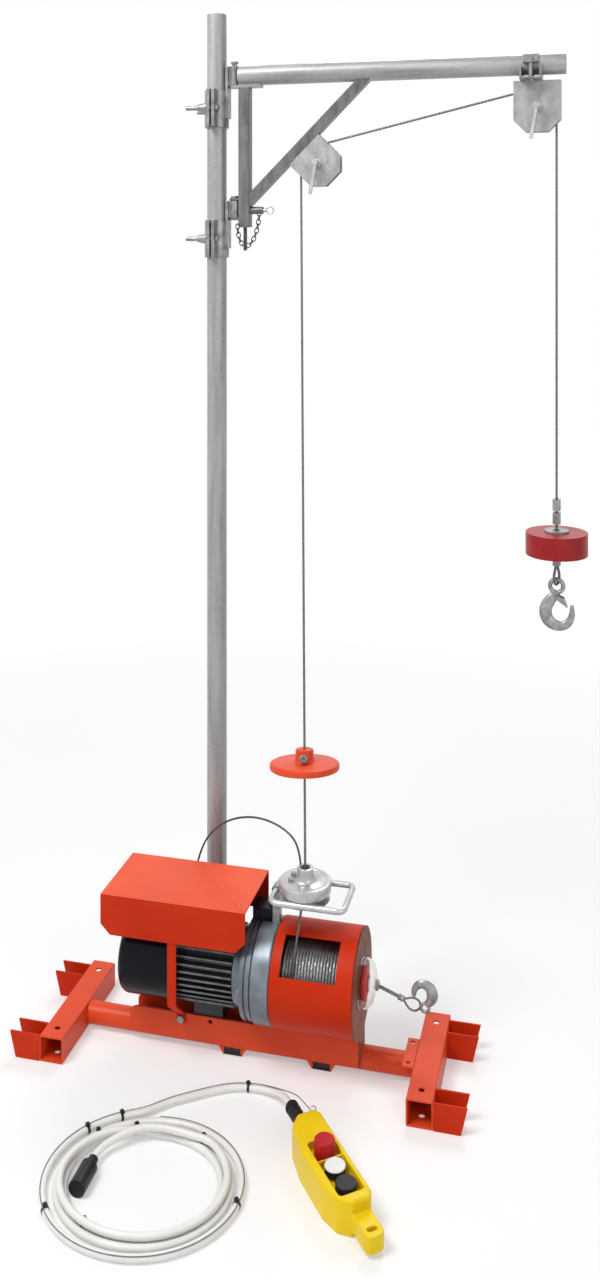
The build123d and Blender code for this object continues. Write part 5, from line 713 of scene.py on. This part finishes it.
# %% [markdown]
# Castings and mouldings have round edges all over. Bevels would need every edge picked, so a copy
# of the solid is fused into one fine skin, smoothed, and thinned again.


# %% Rounding helpers
def work(piece, kind, **settings):
    """Adds a modifier with these settings and applies it."""
    alone(piece)
    modifier = piece.modifiers.new(kind.lower(), kind)
    for key, value in settings.items():
        setattr(modifier, key, value)
    bpy.ops.object.modifier_apply(modifier=modifier.name)


def round_off(piece, grain, passes, keep):
    """Fuses a piece into one skin and smooths its edges."""
    work(piece, "REMESH", mode="VOXEL", voxel_size=grain)
    work(piece, "SMOOTH", factor=0.5, iterations=passes)
    work(piece, "DECIMATE", ratio=keep)


def softened(name, grain, passes, keep):
    """Copy of a solid with its edges rounded, as on a casting or a moulding."""
    piece = bpy.data.objects.new(name + "_soft", solids[name].data.copy())
    scene.collection.objects.link(piece)
    piece.matrix_world = solids[name].matrix_world
    seal(piece, 0.001 * MM)
    round_off(piece, grain, passes, keep)
    return piece


# %% [markdown]
# ### Wire rope
# Six strands are laid round a core. Six twisted tubes would be heavy for so long a rope, so its
# section is a curve with six lobes, which is swept along the rope's line and turns once every lay.
# The line itself is a NURBS line that follows given points.

# %% Rope section
ROPE_D = 0.005
ROPE_LAY = 0.045
LOBES = 6
LOBE_POINTS = 4
CORE_SHARE, LOBE_SHARE = 0.80, 0.20
section_curve = bpy.data.curves.new("rope_section", "CURVE")
section_line = section_curve.splines.new("POLY")
section_line.points.add(LOBES * LOBE_POINTS - 1)
for index, knot in enumerate(section_line.points):
    angle = 2 * math.pi * index / (LOBES * LOBE_POINTS)
    radius = ROPE_D / 2 * (CORE_SHARE + LOBE_SHARE * abs(math.cos(LOBES / 2 * angle)))
    knot.co = (radius * math.cos(angle), radius * math.sin(angle), 0, 1)
section_line.use_cyclic_u = True
section = bpy.data.objects.new("rope_section", section_curve)
scene.collection.objects.link(section)
print("rope section of", len(section_line.points), "points")


# %% Rope builder
def laid_rope(name, points, fineness, lay=ROPE_LAY):
    """Rope of six strands along given points."""
    route = cord_line(name + "_route", points, ROPE_D, WIRE, "stand")
    route.data.resolution_u = fineness
    places = line_points(route)
    bpy.data.objects.remove(route)
    curve = bpy.data.curves.new(name, "CURVE")
    curve.dimensions = "3D"
    curve.bevel_mode = "OBJECT"
    curve.bevel_object = section
    curve.use_fill_caps = True
    line = curve.splines.new("POLY")
    line.points.add(len(places) - 1)
    run = 0.0
    for index, place in enumerate(places):
        run += (place - places[max(index - 1, 0)]).length
        line.points[index].co = (*place, 1)
        line.points[index].tilt = 2 * math.pi * run / lay
    piece = bpy.data.objects.new(name, curve)
    scene.collection.objects.link(piece)
    alone(piece)
    bpy.ops.object.convert(target="MESH")
    piece = bpy.context.object
    seal(piece)
    return piece


# %% [markdown]
# The rise leaves the drum, bends in the guide and goes up to the jib, the run lies over both
# pulleys, and the fall hangs down to the weight. The jib swings and the hook travels, but only the
# run rides on a body, the jib. The rise and the fall belong to no body, and their ends meet the
# run's ends.

# %% Rise, run and fall
RISE_TOP = (0.188, 0, 1.74431)
FALL_TOP = (0.720, 0, 1.880)
FALL_END = (0.720, 0, 1.091)
rise = laid_rope("rope_up", [
    (0.230, -0.2501, 0.1870), (0.2350, -0.2338, 0.2386), (0.2416, -0.2123, 0.3067),
    (0.246, -0.198, 0.3521), (0.24192, -0.18408, 0.45), (0.23567, -0.16274, 0.60),
    (0.22734, -0.13430, 0.80), (0.21901, -0.10586, 1.00), (0.21068, -0.07741, 1.20),
    (0.20234, -0.04897, 1.40), (0.19401, -0.02053, 1.60), RISE_TOP], 64)
settle(rise, "rope_up", None, "wire_rope", WIRE, "rope_rise", smooth=60)
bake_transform(rise)
run = laid_rope("rope_over", [
    RISE_TOP, (0.188, 0, 1.7743), (0.188, 0, 1.78757), (0.2045, 0, 1.80833),
    (0.21742, 0, 1.81133), (0.36942, 0, 1.84656), (0.52142, 0, 1.88179), (0.67342, 0, 1.91702),
    (0.68486, 0, 1.91967), (0.70675, 0, 1.91114), (0.720, 0, 1.89174), FALL_TOP], 40)
settle(run, "rope_over", "jib", "wire_rope", WIRE, "rope_run", smooth=60)
fall = laid_rope("rope_down", [
    FALL_TOP, (0.720, 0, 1.74), (0.720, 0, 1.58), (0.720, 0, 1.42), (0.720, 0, 1.26),
    FALL_END], 60)
settle(fall, "rope_down", None, "wire_rope", WIRE, "rope_fall", smooth=60)
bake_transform(fall)

# %% [markdown]
# The rope on the drum lies in tight turns side by side. Rings would do from afar, but the turns of
# a real drum climb, so it is the same rope on a screw line, a little thicker to close the gaps.

# %% Rope on the drum
WIND_LEFT, WIND_PITCH, WIND_TURNS = 0.2101, 0.0061, 21
WIND_R = 0.0585
TURN_POINTS = 16
DRUM_SCALE = 1.16
DRUM_LAY = 0.1
wound = []
for index in range(WIND_TURNS * TURN_POINTS + 1):
    angle = 2 * math.pi * index / TURN_POINTS
    wound.append((WIND_LEFT + WIND_PITCH * index / TURN_POINTS,
                  AXIS_Y + WIND_R * math.cos(angle), AXIS_Z + WIND_R * math.sin(angle)))
section.scale = (DRUM_SCALE, DRUM_SCALE, DRUM_SCALE)
winding = laid_rope("rope_wound", wound, 4, DRUM_LAY)
settle(winding, "rope_wound", "rope_drum", "wire_rope", WOUND, "rope_windings", smooth=60)

# %% [markdown]
# ### Rope guide and stop disc
# The guide leads the rope through the bail's loop. It is a turned disc with a hub above and a dish
# below, so the lathe makes it in one piece from a single section. Two screws hold the lead's end:
# they are spun with six steps only, which leaves a hexagon.

# %% Guide disc
GUIDE_X, GUIDE_Y = 0.246, -0.198
GUIDE_SCREWS = ((-0.0265, -0.010), (-0.0265, 0.012))
guide = turned([
    (19, 312.9), (28, 312.9), (31, 313.6), (46, 321.9), (49, 323.4), (49, 323.9), (30, 323.9),
    (30, 336.1), (40, 336.1), (41, 338.5), (45.5, 338.5), (46.5, 336.1), (48.8, 336.5),
    (50.5, 338), (51, 340), (51, 354.5), (50.4, 356.6), (48.8, 357.8), (46.5, 358.1),
    (43, 358.1), (41.5, 356.8), (24, 356.8), (20.5, 358.6), (18, 361.6), (16.6, 366), (16, 371),
    (16, 381.6), (15.4, 382.6), (14, 383), (10.6, 383), (9.5, 382), (9.5, 336.1), (19, 336.1),
    (19, 312.9)], (GUIDE_X, GUIDE_Y, 0))
settle(guide, "guide_turned", "bail", "galvanised", BRIGHT_ZINC, "guide_disc")
for number, (side, back) in enumerate(GUIDE_SCREWS):
    screw = turned([(0, 356.6), (5.6, 356.6), (5.6, 361.6), (4.8, 362.8), (0, 362.8)],
                   (GUIDE_X + side, GUIDE_Y + back, 0), steps=6)
    settle(screw, f"guide_screw_{number}", "bail", "galvanised", ZINC)

# %% [markdown]
# The orange disc is clamped to the rope and lifts the bail when the hook is high enough. It sits
# square to the rope, so the same lathe gets the rope's direction as its axis. A clamp screw stands
# out of its hub.

# %% Stop disc
RISE_AXIS = Vector((-0.04121, 0.140683, 0.989197))
STOP_PLACE = Vector((0.23705, -0.16744, 0.567))
stop = turned([
    (3, -7.5), (61, -7.5), (66, -6.9), (68.6, -5.2), (69.5, -2.6), (69.5, 2.6), (68.6, 5.2),
    (66, 6.9), (61, 7.5), (25, 7.5), (21, 8.6), (18.8, 11), (18, 14.5), (18, 29.6), (17.2, 31.6),
    (15, 32.5), (3, 32.5), (3, -7.5)], STOP_PLACE, RISE_AXIS)
settle(stop, "stop_turned", "stop", "orange_paint", ORANGE, "stop_disc")
SCREW_SHIFT = Vector((0.002, -0.0172, 0.0215))
SCREW_AXIS = (0.15, -1, 0.15)
stop_screw = turned([
    (0, 0), (7.4, 0), (8.4, 1), (8.4, 6.6), (7.2, 8.2), (4, 8.6), (3.4, 6), (0, 6)],
    STOP_PLACE + SCREW_SHIFT, SCREW_AXIS, steps=32)
settle(stop_screw, "stop_screw", "stop", "zinc_plate", ZINC)

# %% [markdown]
# The red collar on the drum shaft shows through the clear dome. It turns with the drum, so it
# rides on that body and not on the cover.

# %% Shaft collar
COLLAR_X = 0.3590
collar = turned([(12, 0), (27, 0), (29.5, 1.4), (30, 3), (30, 7), (29, 8.8), (26, 9.6), (17, 9.6),
                 (15, 12.5), (12, 12.5), (12, 0)], (COLLAR_X, AXIS_Y, AXIS_Z), (1, 0, 0))
settle(collar, "shaft_collar", "rope_drum", "red_plastic", RED)


# %% [markdown]
# ### Hooks
# A forged hook is a bar that is thick where the load pulls and thin at the point. It could be
# carved from a plate, but then its edges stay flat. So the bar is a NURBS line whose radius
# changes, flattened across, and fused with the ring of its eye as under the hammer.

# %% Hook builder
FORGE_GRAIN, FORGE_PASSES, FORGE_KEEP = 0.8 * MM, 3, 0.5
BAR_STEPS, BAR_ROUND = 10, 8
EYE_STEPS, EYE_ROUND = 48, 20


def forged(name, bars, middle, flat, eye, ring):
    """Forged hook from (x, z, radius) stations in mm about its middle, and an eye ring."""
    curve = bpy.data.curves.new(name, "CURVE")
    curve.dimensions = "3D"
    spline = curve.splines.new("NURBS")
    spline.points.add(len(bars) - 1)
    for knot, (side, up, radius) in zip(spline.points, bars):
        knot.co = (side * MM, 0, up * MM, 1)
        knot.radius = radius
    spline.order_u = 3
    spline.use_endpoint_u = True
    curve.resolution_u = BAR_STEPS
    curve.bevel_depth = MM
    curve.bevel_resolution = BAR_ROUND
    curve.use_fill_caps = True
    bar = bpy.data.objects.new(name, curve)
    scene.collection.objects.link(bar)
    alone(bar)
    bpy.ops.object.convert(target="MESH")
    bar = bpy.context.object
    bar.scale = (1, flat, 1)
    bpy.ops.object.transform_apply(location=False, rotation=False, scale=True)
    bpy.ops.object.select_all(action="DESELECT")
    bpy.ops.mesh.primitive_torus_add(
        location=(eye[0] * MM, 0, eye[1] * MM), rotation=(math.pi / 2, 0, 0),
        major_radius=ring[0] * MM, minor_radius=ring[1] * MM, major_segments=EYE_STEPS,
        minor_segments=EYE_ROUND)
    bar.select_set(True)
    bpy.context.view_layer.objects.active = bar
    bpy.ops.object.join()
    round_off(bar, FORGE_GRAIN, FORGE_PASSES, FORGE_KEEP)
    bar.location = middle
    return bar


# %% [markdown]
# The load hook's stations run from its neck round the bowl to the point, each with its radius.

# %% Load hook
HOOK_FOOT = (0.720, 0.0029, 0.820)
hook = forged("load_hook_forged", [
    (0, 80, 7.5), (-4, 72, 9.5), (-13, 62, 11.5), (-21, 49, 12.6), (-23, 35, 12.8),
    (-17.5, 20.5, 12.4), (-5.5, 11.6, 11.2), (9, 9.6, 9.8), (21.5, 15, 8.6), (29, 27.5, 7),
    (31, 41, 5.4), (30, 54, 3.2)], HOOK_FOOT, 0.6, (0, 91), (13, 4.6))
settle(hook, "load_hook_forged", "hook", "forged_steel", FORGED, "load_hook", smooth=60)

# %% [markdown]
# The rope's end goes through the weight, round the hook's eye and back up. The clips hold both
# strands, and the loop below them stands a little turned. It is one more run of the same rope.

# %% Rope loop at the hook
sling = laid_rope("hook_sling", [
    (0.7200, 0.0000, 1.0905), (0.7200, 0.0000, 1.0200), (0.7200, 0.0000, 0.9740),
    (0.7200, 0.0000, 0.9560), (0.7170, -0.0015, 0.9440), (0.7150, -0.0042, 0.9330),
    (0.7152, -0.0052, 0.9240), (0.7168, -0.0036, 0.9160), (0.7200, 0.0029, 0.9132),
    (0.7232, 0.0094, 0.9160), (0.7248, 0.0110, 0.9240), (0.7250, 0.0100, 0.9330),
    (0.7230, 0.0073, 0.9440), (0.7200, 0.0058, 0.9560), (0.7200, 0.0058, 0.9740),
    (0.7200, 0.0058, 1.0200), (0.7200, 0.0058, 1.0890)], 16)
settle(sling, "hook_sling", "hook_block", "wire_rope", WIRE, "hook_rope", smooth=60)

# %% [markdown]
# A smaller hook hangs at the drum cover's end on a short, thinner rope, whose loop is held by a
# clip. The hook is made as the large one. The rope is the same section at a smaller scale, and
# clip and washer come from the lathe.

# %% Spare hook
SPARE_MIDDLE = (0.4803, AXIS_Y, 0.165)
spare = forged("spare_hook_forged", [
    (2, -22, 6.5), (11, -14, 9), (15, -2, 11.6), (11, 11.5, 10.6), (0, 18, 9), (-11, 17, 7.8),
    (-19, 9, 6.4), (-21.6, 0, 5.4), (-21.4, -7.5, 4)],
    SPARE_MIDDLE, 0.62, (0, -27), (8, 3.2))
settle(spare, "spare_hook_forged", "stand", "forged_steel", FORGED, "tether_hook", smooth=60)

# %% Rope of the spare hook
TETHER_SCALE = 0.8
section.scale = (TETHER_SCALE, TETHER_SCALE, TETHER_SCALE)
tether = laid_rope("tether_rope", [
    (0.3866, -0.1926, 0.1679), (0.4150, -0.1926, 0.1576), (0.4340, -0.1924, 0.1507),
    (0.4440, -0.1916, 0.1510), (0.4570, -0.1906, 0.1556), (0.4700, -0.1900, 0.1500),
    (0.4720, -0.1898, 0.1380), (0.4640, -0.1894, 0.1290), (0.4520, -0.1890, 0.1290),
    (0.4440, -0.1884, 0.1370), (0.4390, -0.1878, 0.1464), (0.4280, -0.1874, 0.1524),
    (0.4150, -0.1874, 0.1576), (0.3866, -0.1874, 0.1679)], 12)
settle(tether, "tether_rope", "stand", "wire_rope", WIRE, smooth=60)
bpy.data.objects.remove(section)

# %% Clip and washer
TETHER_AXIS = (0.9397, 0, -0.3420)
CLIP_PLACE, CLIP_FLAT = (0.4286, AXIS_Y, 0.1526), 0.8
WASHER_PLACE = (0.38635, AXIS_Y, AXIS_Z)
clip = turned([
    (0, 0), (5.2, 0), (6.6, 1.2), (7, 3), (6, 5), (6, 6), (7, 8), (6.6, 10.4), (5.2, 11.6),
    (0, 11.6)], CLIP_PLACE, TETHER_AXIS, steps=32)
clip.scale = (1, CLIP_FLAT, 1)
settle(clip, "tether_clip", "stand", "zinc_plate", ZINC)
washer = turned([(0, 0), (9.2, 0), (10, 0.8), (10, 3), (7, 5), (0, 5)],
                WASHER_PLACE, (1, 0, 0), steps=48)
settle(washer, "tether_washer", "stand", "zinc_plate", ZINC)

# %% [markdown]
# ### Pendant
# The shell is moulded, so all its edges are round: it is a softened copy of its solid. Softening
# also fills the corners of the buttons' wells, so a stepped cutter frees each button's way down.

# %% Pendant shell
BUTTON_PLACES = ((0.3506, -0.4843, 0), (0.3760, -0.5165, 0), (0.4014, -0.5487, 0))
SHELL_GRAIN, SHELL_PASSES, SHELL_KEEP = 1.1 * MM, 8, 0.35
shell = softened("pendant_body", SHELL_GRAIN, SHELL_PASSES, SHELL_KEEP)
for spot in BUTTON_PLACES:
    cutter = turned([(0, 26), (8, 26), (8, 41.2), (18.8, 41.2), (18.8, 80), (0, 80)], spot)
    work(shell, "BOOLEAN", operation="DIFFERENCE", solver="EXACT", object=cutter)
    bpy.data.objects.remove(cutter)
settle(shell, "pendant_shell", "stand", "yellow_plastic", YELLOW, "pendant_body", smooth=60)

# %% [markdown]
# The boot behind the shell has ribs that let it bend with the cable. Ribs could be a row of rings,
# but drawn into one section they are a single skin, as the moulded boot is.

# %% Ribbed boot
BOOT_END = (0.2564, -0.3522, 0.024)
BOOT_AXIS = (0.6198, -0.7848, 0)
boot = turned([
    (6.6, 0), (9, 0), (10.4, 0.8), (10.8, 3), (12.4, 4), (12.8, 7), (12.4, 10), (10, 11), (10, 14),
    (12.2, 15), (12.6, 18), (12.2, 21), (10, 22), (10, 25), (12, 26), (12.4, 29), (12, 32),
    (10.4, 33), (10.6, 40), (11.6, 56), (12, 66.6), (6.6, 66.6), (6.6, 0)],
    BOOT_END, BOOT_AXIS, steps=48)
settle(boot, "ribbed_boot", "stand", "black_nylon", BLACK_NYLON, "cable_gland")

# %% [markdown]
# A wire ring on the shell's shoulder takes the support wire. A ready torus could stand for it, but
# the lathe already makes rings: its section here is the round wire, a little way off the axis, and
# the axis is tipped to where the wire pulls.

# %% Wire ring
RING_PLACE, RING_AXIS = (0.3085, -0.3925, 0.052), (0.7301, -0.5794, 0.3624)
RING_R, RING_WIRE_R, RING_SIDES = 6, 1.1, 12
ring_section = []
for index in range(RING_SIDES + 1):
    angle = 2 * math.pi * index / RING_SIDES
    ring_section.append((RING_R + RING_WIRE_R * math.cos(angle), RING_WIRE_R * math.sin(angle)))
ring = turned(ring_section, RING_PLACE, RING_AXIS, steps=48)
settle(ring, "wire_ring", "stand", "zinc_plate", BRIGHT_ZINC)

# %% [markdown]
# ### Support wire and cable ties
# A thin steel wire takes the pull off the cable. It lies against the cable's outer side along the
# first turn. Points set by hand would drift off the cable, so they are read from the cable's own
# line and moved to its side.

# %% Support wire
WIRE_START, WIRE_END, WIRE_STEP = 12, 200, 4
WIRE_D = 0.0016
WIRE_SIDE, WIRE_UP = 0.0046, Vector((0, 0, 0.0060))
COIL_MIDDLE = Vector((COIL_X, COIL_Y, 0))
beside = [(0.3060, -0.3910, 0.048), (0.2860, -0.3680, 0.044), (0.2640, -0.3420, 0.040)]
for index in range(WIRE_START, WIRE_END - WIRE_STEP, WIRE_STEP):
    before, after = cable_places[index - WIRE_STEP], cable_places[index + WIRE_STEP]
    place = cable_places[index]
    side = (after - before).cross(Vector((0, 0, 1))).normalized()
    if side.dot(place - COIL_MIDDLE) < 0:
        side = -side
    beside.append(place + WIRE_SIDE * side + WIRE_UP)
support = cord_line("support_wire_line", beside, WIRE_D, WIRE, "stand")
alone(support)
bpy.ops.object.convert(target="MESH")
support = bpy.context.object
seal(support)
settle(support, "support_wire", "stand", "wire_rope", WIRE, smooth=60)

# %% [markdown]
# Black ties hold cable and wire together. Each is a thin flat ring with a small head. They are set
# square to the cable's own line at the place where they are seen, and ride on the stand with the
# cable, so that they go wherever it goes. Their names are listed with the plug and the support
# wire.

# %% Cable ties
HEAD_UP = Vector((0, 0, 0.0070))
TIE_PLACES = ((0.1634, -0.3045), (-0.0430, -0.4270), (-0.0930, -0.4700), (-0.0665, -0.4830),
              (0.0000, -0.4550), (0.1253, -0.4491), (0.2330, -0.5752), (-0.0761, -0.6662),
              (0.0040, -0.6542))
held = ["cable_plug", "support_wire"]
for number, spot in enumerate(TIE_PLACES):
    near = min(range(1, len(cable_places) - 1),
               key=lambda index: (cable_places[index].xy - Vector(spot)).length)
    along = (cable_places[near + 1] - cable_places[near - 1]).normalized()
    tie = turned([(6.3, -2.4), (6.8, -2.4), (7.1, -1.9), (7.1, 1.9), (6.8, 2.4), (6.3, 2.4),
                  (6.3, -2.4)], cable_places[near], along, steps=40)
    settle(tie, f"cable_tie_{number}", "stand", "black_nylon", BLACK_NYLON)
    head = turned([(0, 0), (4.4, 0), (4.8, 0.8), (4.8, 4.4), (4, 5.4), (0, 5.4)],
                  cable_places[near] + HEAD_UP, (0, 0, 1), steps=4)
    settle(head, f"tie_head_{number}", "stand", "black_nylon", BLACK_NYLON)
    held += [tie.name, head.name]
print("pieces held by the cable", len(held))

# %% [markdown]
# ### Roof crease
# The sheet of the roof is stiffened by a shallow crease that runs from the middle of its back edge
# to its front right corner. Bending the roof itself would change its solid, so the crease is a low
# ridge laid on it: a strip, extruded upwards and narrowed at its top.

# %% Roof crease
CREASE_L, CREASE_W, CREASE_H = 0.219, 0.010, 1.4 * MM
CREASE_TOP = (0.98, 0.12, 1)
CREASE_PLACE = (0.0705, -0.1895, 0.3178)
CREASE_TURN = math.radians(-48.8)
bpy.ops.object.select_all(action="DESELECT")
bpy.ops.mesh.primitive_plane_add(size=1)
crease = bpy.context.object
crease.scale = (CREASE_L, CREASE_W, 1)
bpy.ops.object.transform_apply(location=False, rotation=False, scale=True)
bpy.ops.object.mode_set(mode="EDIT")
bpy.ops.mesh.select_all(action="SELECT")
bpy.ops.mesh.extrude_region_move(TRANSFORM_OT_translate={"value": (0, 0, CREASE_H)})
bpy.ops.transform.resize(value=CREASE_TOP)
bpy.ops.mesh.select_all(action="SELECT")
bpy.ops.mesh.normals_make_consistent(inside=False)
bpy.ops.object.mode_set(mode="OBJECT")
crease.location = CREASE_PLACE
crease.rotation_euler = (0, 0, CREASE_TURN)
# The crease takes the lighter orange of the roof's top, which is painted light.
settle(crease, "roof_crease", "stand", "orange_paint", ORANGE_PAINTED_LIGHT)
